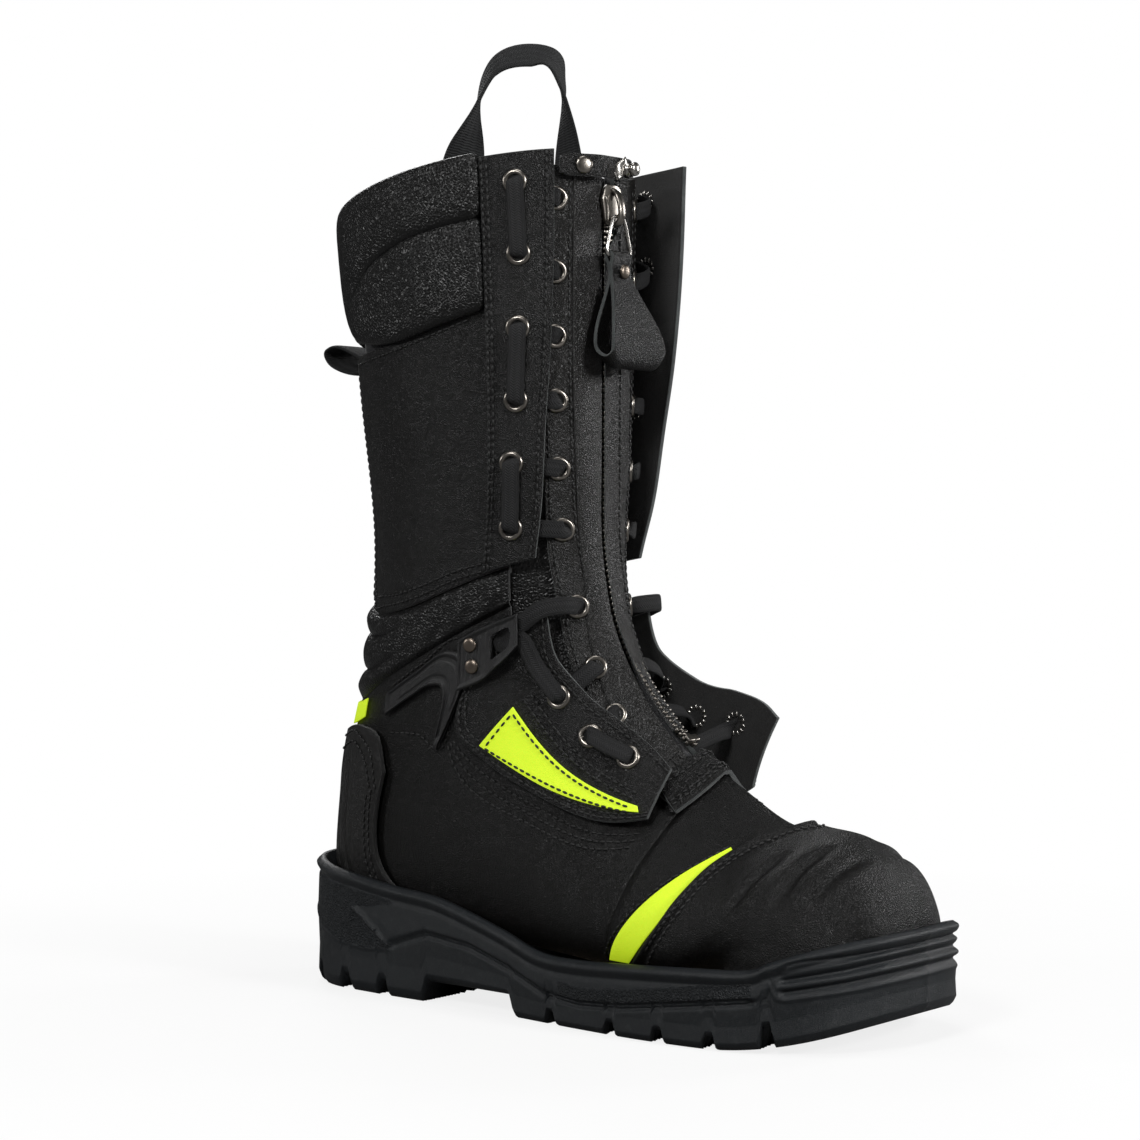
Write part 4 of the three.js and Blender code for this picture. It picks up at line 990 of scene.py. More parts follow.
tongueFace = innerFace - shaftPadding - 2 * layerGap
panelPiece(
    "tongue_leather", [[-44, 7.06], [-52, 8], [-58, 9], [-62, 10], [-64, 11], [-64, 13.9]],
    [[44, 7.06], [52, 8], [58, 9], [62, 10], [64, 11], [64, 13.9]],
    lambda u, v, s, t: tongueFace + 0.3 * np.sin(v * 6),
    40, 70, ["pebble", "darkEdge"], ["tongue"], thick=leather, bevel=0.6,
)

# the laced facings
facingFree = [[28, 14.08], [29, 13.36], [31.5, 12.72], [35, 12.2], [38, 11.5], [41.5, 10.86]]
facingRoot = [[57.5, 14.1], [57.5, 13.36], [58.5, 12.72], [60.5, 12.2], [63, 11.5], [65, 10.98]]
lowerFree = [[14.6, 7.0], [14.2, 7.3], [17.5, 7.84], [26, 8.46], [35, 9.2], [38, 9.92]]
lowerRoot = [[33, 6.86], [46, 7.4], [56, 8.05], [67, 8.75], [75, 9.4], [62, 10.1]]
facingHoles = [[43.5, 13.84], [43, 13.38], [44.5, 12.92], [47, 12.46], [50.5, 12.02], [52, 11.36]]
lowerHoles = [[36, 8.66], [29.5, 8.04], [22.5, 7.52]]
stripHoles = [
    [25.5, 13.7], [26.5, 13.24], [27.5, 12.82], [28, 12.4], [28, 11.86], [27, 11.1], [23.5, 9.8], [20, 8.7],
    [18, 8.06], [17, 7.5],
]
stripEdge = [[21, 6.7], [22.5, 7.4], [26, 8.2], [30, 9], [33, 10], [35.5, 11], [35.5, 12.5], [35.5, 13.95]]


def between(a, b, share):  # a line part of the way from line a to line b
    t = np.linspace(0, 1, 12)
    return (line(a)(t) * (1 - share) + line(b)(t) * share).tolist()


for name, side in sides:
    rise = riseOf(name)
    outside = lambda u, v, s=None, t=None, rise=rise: rise(u) + layerGap + leather
    panelPiece(
        "facing_upper_" + name, onSide(facingFree, side), onSide(facingRoot, side), outside, 34, 120,
        ["smooth", "edge", "suede"], ["upper_facing_" + name], thick=leather, bevel=0.35,
    )
    panelPiece(
        "facing_lower_" + name, onSide(lowerFree, side), onSide(lowerRoot, side),
        lambda u, v, s, t, rise=rise: rise(u) + layerGap + leather + 0.12 * np.sin(v * 9 + u * 0.2), 44,
        100,
        ["smooth", "edge", "suede"], ["lower_facing_" + name], thick=leather, bevel=0.35,
    )
    panelPiece(
        "hi_vis_triangle_" + name, onSide([[52.5, 8.97], [42.5, 8.0], [32, 7.06]], side),
        onSide([[66.5, 8.9], [50, 7.92], [33.5, 7.0]], side),
        lambda u, v, s, t, rise=rise: rise(u) + 2 * layerGap + leather - 0.2, 14, 40, "hiVis",
        ["hivis_triangle_" + name], thick=0.6, bevel=0.15,
    )
    for share in (0.1, 0.9):
        stitchPath(onSide(between(facingFree, facingRoot, share), side), outside)
    stitchPath(onSide(between(facingFree, facingRoot, 0.97), side), outside)
    for share in (0.08, 0.9, 0.96):
        stitchPath(onSide(between(lowerFree, lowerRoot, share), side), outside)
    film = lambda u, v, rise=rise: rise(u) + 2 * layerGap + leather - 0.15
    stitchPath(onSide([[53, 8.9], [43.8, 8.0], [34.5, 7.14]], side), film)
    stitchPath(onSide([[65, 8.83], [49.5, 7.97], [36, 7.11]], side), film)
    stitchPath(onSide([[53.5, 8.9], [64.5, 8.83]], side), film)
    for offset in (2.6, 5.4):
        path = [[51 - offset, 8.95], [42 - offset, 8.05], [33 - offset * 0.8, 7.16]]
        stitchPath(onSide(path, side), outside)
    for offset in (4, 7.5, 11):  # rows on the quarter, below the facing
        path = [
            [46 + offset, 7.4 - offset * 0.004], [56 + offset, 8.05],
            [67 + offset * 0.8, 8.75 - offset * 0.01], [76 + offset * 0.3, 9.26]
        ]
        stitchPath(onSide([[34 + offset, 6.9], *path], side), footHeight)

# the zip panel
zipLook = {"pitch": 2.4, "bottom": 7.12, "top": 13.8}


def turnAt(mm, v):
    k = ringValues(np.atleast_1d(np.asarray(v, float)))
    reach = np.minimum(abs(mm) / k[:, 4], 1)
    return np.sign(mm) * np.degrees(np.arcsin(reach ** (1 / k[:, 6])))


def fromMiddle(mm, low, high, count=10):
    return [[float(turnAt(mm, v)[0]), float(v)] for v in np.linspace(low, high, count)]


for name, side in sides:
    inner = onSide(fromMiddle(4.2, 6.72, 13.95), side)
    panelPiece(
        "zip_strip_leather_" + name, inner, onSide(stripEdge, side),
        lambda u, v, s, t: 0.12 * np.sin(v * 7), 24, 130,
        ["strip", "edge", "suede"], ["zip_strip_" + name], bevel=0.35,
    )
    panelPiece(
        "zip_tape_cloth_" + name, onSide(fromMiddle(2.6, 6.85, 13.9), side),
        onSide(fromMiddle(8.5, 6.85, 13.9), side), -3.1, 6, 90,
        "lining", ["zip_tape_" + name], thick=0.9, bevel=0,
    )
    panelPiece(
        "gusset_leather_" + name,
        onSide(
            [[18, 6.6], [20.5, 7.4], [24, 8.2], [28, 9], [31, 10], [33.5, 11], [33.5, 12.5], [33.5, 13.9]],
            side
        ),
        onSide(
            [[36, 6.6], [42, 7.4], [50, 8.4], [56, 9.2], [58, 10], [58, 11], [58, 12.5], [58, 13.9]], side
        ),
        -2.5, 16, 80,
        ["pebble", "darkEdge"], thick=0.6, bevel=0,
    )
    for mm in (6.0, 8.6):
        stitchPath(onSide(fromMiddle(mm, 6.9, 13.9), side), flat(0.0))
    stitchPath(
        onSide(
            [
                [18.5, 13.82], [20, 13.06], [20.5, 12.08], [20, 11.2], [17.5, 10.2], [16, 9.2],
                [12.5, 8.22], [11, 7.4]
            ],
            side
        ),
        flat(0.0)
    )
    stitchPath(onSide(shifted(stripEdge, -2.6, 0), side), flat(0.0))

# smooth strip of leather beside the teeth, and the guard flap that stands over them from the inner side
panelPiece(
    "zip_beside_leather", fromMiddle(4.9, 7.2, 13.9),
    [[17.4, 7.25], [18.5, 8], [20, 9], [18.5, 10.2], [18.5, 11.2], [19, 12.4], [17, 13.9]],
    lambda u, v, s, t: 0.8 + 0.3 * s * (1 - s), 14, 110, ["strip", "darkEdge"], bevel=0.3,
    thick=0.75,
)
panelPiece(
    "zip_guard_leather", fromMiddle(3.0, 7.42, 13.35), onSide(fromMiddle(9.4, 7.3, 13.6), -1),
    lambda u, v, s, t: 0.95 + 0.05 * np.sin(v * 5.1), 16, 120, ["strip", "edge", "suede"],
    bevel=0.15,
    thick=0.45,
)
stitchPath(onSide(fromMiddle(7.6, 7.4, 13.5), -1), flat(0.95))

toothMatrices = []
read = np.linspace(zipLook["bottom"], zipLook["top"], 900)
spine = place(np.zeros_like(read), read, 0)
run = np.concatenate([[0], np.cumsum(np.linalg.norm(np.diff(spine, axis=0), axis=1))])
for index in range(int(run[-1] / (zipLook["pitch"] / 2))):
    side = 1 if index % 2 else -1
    v = float(np.interp(index * zipLook["pitch"] / 2 + 0.6, run, read))
    point, up, out = surfaceFrame(0.0, v, flat(0))
    point = point + np.array([-1.3 * side, 0, 0]) - out * 0.72
    toothMatrices.append(frameMatrix(metres([point])[0], up, out, (0.0016, 0.0031, 0.0022)))
template = bmesh.new()
bmesh.ops.create_cube(template, size=1)
bmesh.ops.bevel(
    template, geom=template.edges[:], offset=0.16, affect="EDGES", segments=2, profile=0.5, material=-1
)
addPiece(
    "zip_teeth_row", stampAll(template, toothMatrices), "nickel", "boot",
    ["zip_teeth_lateral", "zip_teeth_medial"]
)

bandBottom = [[-40, 6.72], [-27, 6.6], [-13, 6.5], [0, 6.45], [12, 6.5], [24, 6.62]]
bandTop = [[-35, 7.2], [-23, 7.2], [-11, 7.04], [0, 6.98], [9, 7.04], [19, 7.18]]
bandHeight = lambda u, v, s=None, t=None: layerGap + leather + 6 * (np.maximum(-u, 0) / 27) ** 2
panelPiece(
    "zip_band_leather", bandBottom, bandTop, bandHeight, 14, 60, ["smooth", "edge", "suede"],
    ["zip_base_band"], bevel=0.35,
)
for share in (0.2, 0.32, 0.8):
    stitchPath(between(bandBottom, bandTop, share), bandHeight)
zigzag = [[u, 6.62 + (0.1 if i % 2 else 0)] for i, u in enumerate(np.linspace(-20, 20, 17))]
stitchPath(zigzag, bandHeight, pitch=2.6)
print("facings and zip")

# slider, bail, pull and rivet
slider = {"top": 348, "length": 17, "plateFront": -7.4}
bailHeight, bailY, bailDrop, wire = 334.4, -9.6, 17, 1.7
pullAxis = bailHeight - bailDrop


def sliderPlate(s, t):
    z = slider["top"] - slider["length"] * (1 - t)
    half = np.interp(t, [0, 0.1, 0.62, 0.9, 1], [4.4, 5.3, 7.2, 5.6, 4.0])
    x = (s - 0.5) * 2 * half
    crown = 0.9 * (1 - (2 * s - 1) ** 2) * np.sin(np.pi * np.clip(t, 0.06, 0.94)) ** 0.4
    return np.stack([x, slider["plateFront"] + 0.7 - crown, z], 1)


addPiece(
    "slider_body", mapGrid(20, 22, sliderPlate, facing=(0, -1, 0)), "nickel", "slider",
    ["zip_slider"], thick=1.7, bevel=0.5, segments=3
)
ridge = smoothPath(
    [[0, -6.6, 346], [0, -9.6, 343.4], [0, -11.3, 338], [0, -10.9, 333], [0, -8.2, 330.8], [0, -6.8, 331]],
    40
)
addPiece(
    "slider_bridge", sweep(ridge, [[1, 0, 0]] * 40, oval(4.2, 1.9, 0.6)), "nickel", "slider"
)
for side in (1, -1):
    wall = [[side * 4.3, -6.2, 332], [side * 4.6, -6.2, 338], [side * 5.6, -6.2, 343]]
    addPiece(
        "slider_flange_" + ("outer" if side > 0 else "inner"),
        sweep(wall, [[0, 1, 0]] * 3, oval(3.2, 1.4, 0.5)), "nickel", "slider"
    )


def bailPoint(turn):
    c, s = np.cos(turn), np.sin(turn)
    cx, cz = np.sign(c) * np.abs(c) ** 0.35, np.sign(s) * np.abs(s) ** 0.35
    half = (18 + (7.4 - 18) * (cz + 1) / 2) / 2
    return np.stack([cx * half, np.full_like(c, bailY), bailHeight - bailDrop / 2 + cz * bailDrop / 2], 1)


def bailGrid():
    steps = 160
    turns = np.linspace(0, 2 * np.pi, 1600, endpoint=False)
    path = bailPoint(turns)
    length = np.concatenate(
        [[0], np.cumsum(np.linalg.norm(np.diff(np.vstack([path, path[:1]]), axis=0), axis=1))]
    )
    ring = np.vstack([path, path[:1]])
    q = np.stack(
        [np.interp(np.linspace(0, length[-1], steps + 1), length, ring[:, k]) for k in range(3)], 1
    )
    q[-1] = q[0]
    tangent = np.roll(q[:-1], -1, 0) - np.roll(q[:-1], 1, 0)
    tangent = unit(np.vstack([tangent, tangent[:1]]))
    side = np.cross(tangent, [0, 1.0, 0])

    def toPoint(s, t):
        i = np.rint(t * steps).astype(int)
        a = 2 * np.pi * s
        sideways = side[i] * (np.cos(a) * wire / 2)[:, None]
        forward = np.array([0, 1.0, 0]) * (np.sin(a) * wire / 2)[:, None]
        return q[i] + sideways + forward

    return mapGrid(12, steps, toPoint, close=True)


addPiece("bail_wire", bailGrid(), "steel", "bail", ["zip_bail"])

pull = {"length": 48, "half": 18, "skin": 1.8}
grip = wire / 2 + 0.8
pullHalfLine = [
    [0, grip], [0.7 * grip, 0.7 * grip], [grip, 0], [0.8 * grip, -1.7], [0.6, -4], [0.45, -9], [2, -17],
    [4, -27],
    [4.8, -36], [3.6, -pull["length"] + 4], [0, -pull["length"] + 1],
]


def pullGrid():
    half = np.array(pullHalfLine)
    loop = np.vstack([half, half[-2:0:-1] * [-1, 1], half[:1]])
    path = smoothPath(np.column_stack([loop, np.zeros(len(loop))]), 121)
    path[-1] = path[0]

    def toPoint(s, t):
        i = np.rint(t * 120).astype(int)
        y, z = path[i, 0], path[i, 1]
        down = np.clip(-z / pull["length"], 0, 1)
        width = 6.6 + (pull["half"] - 6.6) * ease(0.1, 0.85, down)
        corner = np.clip((np.abs(s - 0.5) * 2 - 0.7) / 0.3, 0, 1) ** 2 * ease(0.75, 1, down) * 4.5
        x = (s - 0.5) * 2 * width + 3 * ease(0.1, 0.9, down)
        return np.stack([x, bailY - 5 * down - y, pullAxis + z + corner], 1)

    return mapGrid(30, 120, toPoint, close=True)


addPiece(
    "pull_leather", pullGrid(), ["smooth", "edge"], "pull", ["zip_pull"], thick=pull["skin"],
    bevel=0.4, offset=0
)
dome = [(0, 0.95), (1.6, 0.9), (2.6, 0.65), (3.1, 0.2), (3.15, -0.3), (2.7, -0.5), (0, -0.5)]
rivet = stampAll(
    spun(dome), [frameMatrix(metres([[0, bailY - 3.6, pullAxis - 6.5]])[0], [1, 0, 0], [0, -1, 0])]
)
addPiece("pull_rivet_head", rivet, "bronze", "pull", ["pull_rivet"])

# snap strap over the top of the zip
snapHeight = 354.4
routePoints = [
    [*place(24.5, 13.94, 2.4)[0][:2], 0], [*place(21, 13.94, 3.4)[0][:2], 0], [-15, -9.2, 0],
    [-8, -10.4, 0], [1, -11, 0], [8, -11, 0],
]
route = smoothPath(routePoints, 60)
route[:, 2] = snapHeight


def snapPoint(s, t):
    i = t * 59
    q = np.stack([np.interp(i, np.arange(60), route[:, k]) for k in range(3)], 1)
    rounded = np.sqrt(np.clip(1 - ((t - 0.9) / 0.1).clip(0) ** 2, 0.02, 1))
    narrow = rounded * (0.75 + 0.25 * ease(0, 0.12, t))
    q[:, 2] += (s - 0.5) * 9.2 * narrow
    return q


addPiece(
    "snap_leather", mapGrid(12, 60, snapPoint, facing=(0, -1, 0)), ["smooth", "edge"], "strap",
    ["snap_strap"], thick=1.8, bevel=0.4, offset=0
)


def onRoute(t):
    i = t * 59
    point = np.array([np.interp(i, np.arange(60), route[:, k]) for k in range(3)])
    ahead = np.array([np.interp(i + 1, np.arange(60), route[:, k]) for k in range(3)])
    tangent = unit(ahead - point)
    return point, np.array([tangent[1], -tangent[0], 0])


point, out = onRoute(0.26)
cap = [(0, 1.2), (2.2, 1.12), (3.2, 0.85), (3.8, 0.3), (3.8, -0.2), (0, -0.2)]
addPiece(
    "snap_cap_dome", stampAll(spun(cap), [frameMatrix(metres([point + out * 1.2])[0], [0, 0, 1], out)]),
    "nickel", "strap", ["snap_cap"]
)
point, out = onRoute(0.88)
stud = [(0, 4.9), (2.2, 4.8), (2.9, 4.2), (3.0, 3.2), (2.5, 2.7), (2.5, 1.4), (3.3, 0.9), (3.3, 0), (0, 0)]
addPiece(
    "snap_stud_turned", stampAll(spun(stud), [frameMatrix(metres([point + out * 1.1])[0], [0, 0, 1], out)]),
    "steel", "strap", ["snap_stud"]
)
clip = [[-5.2, -10.9, 352], [-3.2, -12.3, 353.2], [0.2, -12.6, 355.6], [2.2, -12.4, 357.2]]
addPiece("snap_clip", sweep(clip, [[0.4, 0, 1]] * 4, oval(6.2, 1.0, 0.4)), "steel", "strap")

# bottom stop of the zip
stopMatrix = []
for mm in (-1.7, 1.7):
    point, up, out = surfaceFrame(0.0, zipLook["bottom"] + 0.07, flat(1.4))
    stopMatrix.append(
        frameMatrix(metres([point + np.array([mm, 0, 0])])[0], up, out, (0.0034, 0.0042, 0.0016))
    )
addPiece("zip_stop", stampAll(template, stopMatrix), "nickel", "boot", ["zip_bottom_stop"])

# eyelets
ringProfile = [
    (2.9, -1.9), (2.9, 0.3), (3.1, 0.8), (3.6, 1.15), (4.3, 1.15), (4.9, 0.8), (5.25, 0.3), (5.3, -0.1),
    (4.4, -0.1)
]
holeShadeTemplate = spun([(0, -0.1), (1.5, -0.02), (3.2, 0.16)], 16)
ringTemplate = spun(ringProfile, 22)
petal = bmesh.new()
bmesh.ops.create_uvsphere(petal, u_segments=8, v_segments=6, radius=0.5)
for name, side in sides:
    rise = riseOf(name)
    ringFrames, petals = [], []
    for holes, heightOf, backs in (
        (facingHoles, lambda u, v: rise(u) + layerGap + leather, True),
        (lowerHoles, lambda u, v: rise(u) + layerGap + leather, True),
        (stripHoles, flat(0), False),
    ):
        for u, v in holes:
            point, up, out = surfaceFrame(u * side, v, heightOf)
            if side < 0:
                out = out if np.dot(out, faceNormals(np.array([u * side]), np.array([v]))[0]) > 0 else -out
            ringFrames.append(frameMatrix(metres([point])[0], up, out))
            if backs:
                for k in range(12):
                    a = k * math.pi / 6
                    x = unit(np.cross(out, up))
                    spoke = unit(up) * math.cos(a) + x * math.sin(a)
                    petals.append(
                        frameMatrix(
                            metres([point - out * (leather + 0.25) + spoke * 4.1])[0], spoke, out,
                            (0.0026, 0.0016, 0.0009)
                        )
                    )
    addPiece("eyelets_" + name, stampAll(ringTemplate, ringFrames), "nickel", "boot")
    # dark discs of painted shade stand for the holes: the leather itself isn't pierced
    addPiece("eyelet_hole_shade_" + name, stampAll(holeShadeTemplate, ringFrames), "hollow", "boot")
    addPiece("eyelet_backs_" + name, stampAll(petal, petals), "steel", "boot")

# lace hooks
hookBase, hookRise = layerGap + leather + layerGap, 3.4
for name, side in sides:
    rise = riseOf(name)
    seat = lambda u, rise=rise: rise(u) + hookBase + hookRise * (1 - ease(56, 63, np.abs(u)))
    top, bottom = [
        [48.5, 10.17], [53, 10.2], [62, 10.27], [73.5, 10.32]
    ], [[48.5, 9.7], [53, 9.62], [62, 9.58], [73.5, 9.7]]
    a, b = line(onSide(top, side)), line(onSide(bottom, side))

    def hookHeight(u, v, s, t, seat=seat):
        rim = np.minimum(np.minimum(s, 1 - s) * 12, np.minimum(t, 1 - t) * 24)
        alongRibs = 0.35 * np.sin(t * 70) * ease(0.6, 0.64, t) * (1 - ease(0.94, 0.97, t))
        ribs = alongRibs * ease(0.12, 0.2, s) * (1 - ease(0.8, 0.88, s))
        return seat(u) + 1.6 + 0.6 * (1 - ease(0.6, 1.4, rim)) * ease(0, 0.3, rim) + ribs * 0.6

    bm = panelGrid(onSide(top, side), onSide(bottom, side), hookHeight, 40, 80)
    gone = []
    for face in bm.faces:
        at = face.index
        t = (at // 40 + 0.5) / 80
        s = (at % 40 + 0.5) / 40
        if 0.24 < s < 0.76 and 0.13 < t < 0.46 and (abs(s - 0.5) / 0.26) ** 4 + (
            abs(t - 0.295) / 0.165
        ) ** 4 < 1:
            gone.append(face)
    bmesh.ops.delete(bm, geom=gone, context="FACES")
    addPiece(
        "hook_frame_" + name, bm, "plastic", "boot", ["lace_hook_" + name], thick=1.9, bevel=0.35
    )
    matrices = []
    for u, v in ((68.5, 10.15), (67.5, 9.86)):
        point, up, out = surfaceFrame(u * side, v, lambda u, v, seat=seat: seat(u) + 1.9)
        out = out if np.dot(out, faceNormals(np.array([u * side]), np.array([v]))[0]) > 0 else -out
        matrices.append(frameMatrix(metres([point])[0], up, out))
    addPiece(
        "hook_rivets_" + name, stampAll(spun(dome), matrices), "bronze", "boot",
        ["hook_rivet_" + name + "_1", "hook_rivet_" + name + "_2"],
    )
print("hardware")

# laces: flat, woven, in and out of the eyelets
lace = {"width": 7.4, "thick": 1.6, "round": 2.6}
for name, side in sides:
    rise = riseOf(name)
    half = lace["round"] / 2 + 0.6
    spots = []

    def go(u, v, height):
        spots.append((u * side, v, float(np.asarray(height).ravel()[0])))

    facingOut = lambda u: rise(u) + layerGap + leather + half - 0.2
    facingIn = lambda u: rise(u) + layerGap - half
    stripOut, stripIn = half - 0.2, -leather - half

    def strip(i, outward):
        u, v = stripHoles[i]
        for height in (stripIn, stripOut + 0.4) if outward else (stripOut + 0.4, stripIn):
            go(u, v, height)

    def facing(hole, outward):
        heights = [facingIn(hole[0]) - 0.4, facingOut(hole[0])]
        for height in heights if outward else heights[::-1]:
            go(hole[0], hole[1], height)

    def middleOf(p, q, height):
        go((p[0] + q[0]) / 2, (p[1] + q[1]) / 2, height((p[0] + q[0]) / 2))

    under = lambda u: (rise(u) + layerGap) / 2 - 0.12
    go(stripHoles[0][0] - 7, stripHoles[0][1], stripIn - 0.2)
    for i in range(0, 6, 2):
        strip(i, True)
        middleOf(stripHoles[i], facingHoles[i], under)
        facing(facingHoles[i], True)
        middleOf(facingHoles[i], facingHoles[i + 1], lambda u: facingOut(u) + 0.3)
        facing(facingHoles[i + 1], False)
        middleOf(facingHoles[i + 1], stripHoles[i + 1], under)
        strip(i + 1, False)
        middleOf(stripHoles[i + 1], stripHoles[i + 2], lambda u: stripIn - 0.4)
    strip(6, True)
    hookRoom = lambda u: rise(u) + hookBase + 1.1
    go(31, 9.94, max(stripOut + 1.2, float(facingOut(38))))
    go(40, 10.04, facingOut(38) + 0.4)
    go(48, 10.0, hookRoom(48))
    go(54, 9.96, hookRoom(54))
    go(56.2, 9.9, hookRoom(56))
    go(54, 9.84, hookRoom(54))
    go(48, 9.76, hookRoom(48))
    go(42, 9.2, facingOut(42) + 0.2)
    facing(lowerHoles[0], False)
    middleOf(lowerHoles[0], stripHoles[7], under)
    strip(7, False)
    middleOf(stripHoles[7], stripHoles[8], lambda u: stripIn - 0.3)
    strip(8, True)
    middleOf(stripHoles[8], lowerHoles[1], under)
    facing(lowerHoles[1], True)
    middleOf(lowerHoles[1], lowerHoles[2], lambda u: facingOut(u) + 0.3)
    facing(lowerHoles[2], False)
    middleOf(lowerHoles[2], stripHoles[9], under)
    strip(9, False)
    go(stripHoles[9][0] - 7, stripHoles[9][1], stripIn - 0.2)
    spots = np.array(spots)
    points = place(spots[:, 0], spots[:, 1], spots[:, 2])
    normals = faceNormals(spots[:, 0], spots[:, 1])
    count = 900
    path = smoothPath(points, count)
    nearest = np.argmin(np.linalg.norm(path[:, None] - points[None], axis=2), axis=1)
    n = normals[nearest]
    tangent = unit(np.gradient(path, axis=0))
    across = np.cross(n, tangent)
    weight = np.linalg.norm(across, axis=1)
    across = unit(across)
    for i in range(1, count):
        if weight[i] < 0.35:
            across[i] = across[i - 1]
        elif np.dot(across[i], across[i - 1]) < 0:
            across[i] = -across[i]
    for _ in range(30):
        across[1:-1] = unit(across[:-2] + across[1:-1] * 2 + across[2:])
    bm = sweep(path, across, oval(lace["width"], lace["thick"], 0.55), steps=count)
    addPiece("lace_woven_" + name, bm, "lace", "boot", ["lace_" + name])
print("laces")

addPiece("stitching", stampAll(stitchTemplate, stitchMatrices), "thread", "boot")
print("stitches", len(stitchMatrices))

# carrying loop and rear pull tab
loopBack, loopFront, loopInset = -142, -78, tongueFace - 2.2
backTop = place(loopBack, 13.96, loopInset)[0]
frontTop = place(loopFront, 13.96, loopInset)[0]
frontTop[2] = backTop[2]
crown = backTop[2] + 79
halfWay = (backTop + frontTop) / 2


def towards(point, share, z):
    q = point * (1 - share) + halfWay * share
    return [q[0], q[1], z]


def mixed(a, b, share):
    return a + (b - a) * share


def tangentAt(u):
    t = place(u + 3, 13.7, loopInset)[0] - place(u - 3, 13.7, loopInset)[0]
    return unit(np.array([t[0], t[1], 0]))


loopPath = [
    backTop, towards(backTop, 0, backTop[2] + 7), towards(backTop, 0.3, mixed(backTop[2], crown, 0.55)),
    towards(backTop, 0.72, crown - 3), towards(frontTop, 0.45, crown), towards(frontTop, 0.12, crown - 14),
    towards(frontTop, 0, mixed(frontTop[2], crown, 0.35)), towards(frontTop, 0, frontTop[2] + 7), frontTop,
]
path = smoothPath(loopPath, 240)
t = np.linspace(0, 1, 240)[:, None]
overCrown = unit(np.array([-0.62, -0.5, -0.62]))
startFlat = tangentAt(loopBack) * np.sign(np.dot(tangentAt(loopBack), overCrown))
endFlat = tangentAt(loopFront) * np.sign(np.dot(tangentAt(loopFront), overCrown))
turning = startFlat + (overCrown - startFlat) * ease(0.08, 0.4, t)
turning = turning + (endFlat - turning) * ease(0.62, 0.92, t)
addPiece(
    "loop_webbing", sweep(path, turning, oval(20, 1.9, 0.25), steps=200), "webbing", "loop",
    ["carrying_loop"]
)
for name, u in (("back", loopBack), ("front", loopFront)):
    top = place(u, 13.96, loopInset)[0]
    top[2] = backTop[2] - 0.3
    foot = place(u, 13.46, loopInset)[0]
    addPiece(
        "loop_end_" + name,
        sweep([top, (top + foot) / 2, foot], [tangentAt(u)] * 3, oval(20, 1.9, 0.25), steps=30), "webbing",
        "boot", ["loop_anchor_" + name],
    )
tabRoot = place(180, 13.19, 1.7)[0]
tabLine = [(0, 1.3), (0.35, 6.5), (0.75, 10), (1, 7.5), (0.85, 1.5), (0.4, -2.5), (0, -1.3)]
path = smoothPath([tabRoot + [0, reach * 26, riseZ] for reach, riseZ in tabLine], 120)
addPiece(
    "tab_webbing", sweep(path, [[1, 0, 0]] * 120, oval(25, 1.8, 0.25), steps=110), "webbing", "tab",
    ["rear_pull_tab"]
)

# the sole unit
soleOutline = [
    [6, -157.5], [-24, -152.5], [-45, -134], [-56, -102], [-58.5, -66], [-56, -30], [-51, 10], [-48, 50],
    [-46, 90], [-41, 122],
    [-25, 141], [0, 145.5], [25, 141], [41, 122], [46, 90], [47, 50], [48, 10], [53, -30], [58, -66],
    [61.5, -102], [56, -134],
    [36, -152.5], [6, -157.5],
]


def heightLine(points):
    p = np.array([[y, z, 0] for y, z in points], float)
    dense = smoothPath(p, 400)
    return lambda y: np.interp(y, dense[:, 0], dense[:, 1])


rimHeight = heightLine([
    [-160, 47], [-140, 42], [-122, 36], [-112, 32], [-90, 31], [-60, 29.5], [-30, 28], [-8, 29], [15, 36],
    [50, 45], [78, 48],
    [110, 52], [148, 57],
])
soleFloor = heightLine([
    [-160, 27], [-149, 25.5], [-130, 21.5], [-100, 17.5], [-74, 15], [-20, 14.5], [42, 16], [100, 19.5],
    [126, 20], [148, 20],
])
sole = {"lip": 1.6, "wave": 1.7, "arrow": 1.3, "toeGroove": 1.6}
arrowLine = [(104, 30), (103, 37.5), (96, 33.5), (79.5, 22.5)]
waveLine = [
    (79.5, 22.5), (57.6, 29.4), (31.8, 26.8), (8.3, 20), (-12.6, 12.4), (-32, 10.6), (-55, 12.2),
    (-93, 17.4), (-114, 20)
]
stepLine = [(-114, 20), (-120, 21.6), (-124, 29.5), (-127.5, 35), (-133, 36.8), (-150, 39), (-160, 41)]
heelLine = [(140, 34), (128, 27), (112, 21), (96, 19.5), (80, 20.6)]
toeLines = [[(-127, 29), (-146, 33), (-160, 37)], [(-127, 24.6), (-146, 28.2), (-160, 31.6)]]


def toeSpring(y):
    return 13 * np.maximum((-92 - y) / 64, 0) ** 2


def lineDistance(points, y, z):
    best, side, along, travelled = np.full(y.shape, 1e9), np.zeros(y.shape), np.zeros(y.shape), 0.0
    for a, b in zip(points[:-1], points[1:]):
        step = (b[0] - a[0], b[1] - a[1])
        length = math.hypot(*step)
        t = np.clip(((y - a[0]) * step[0] + (z - a[1]) * step[1]) / length**2, 0, 1)
        dy, dz = y - a[0] - t * step[0], z - a[1] - t * step[1]
        d = np.hypot(dy, dz)
        nearer = d < best
        side = np.where(nearer, np.sign(step[0] * dz - step[1] * dy), side)
        along = np.where(nearer, travelled + t * length, along)
        best = np.minimum(best, d)
        travelled += length
    return best, side, along


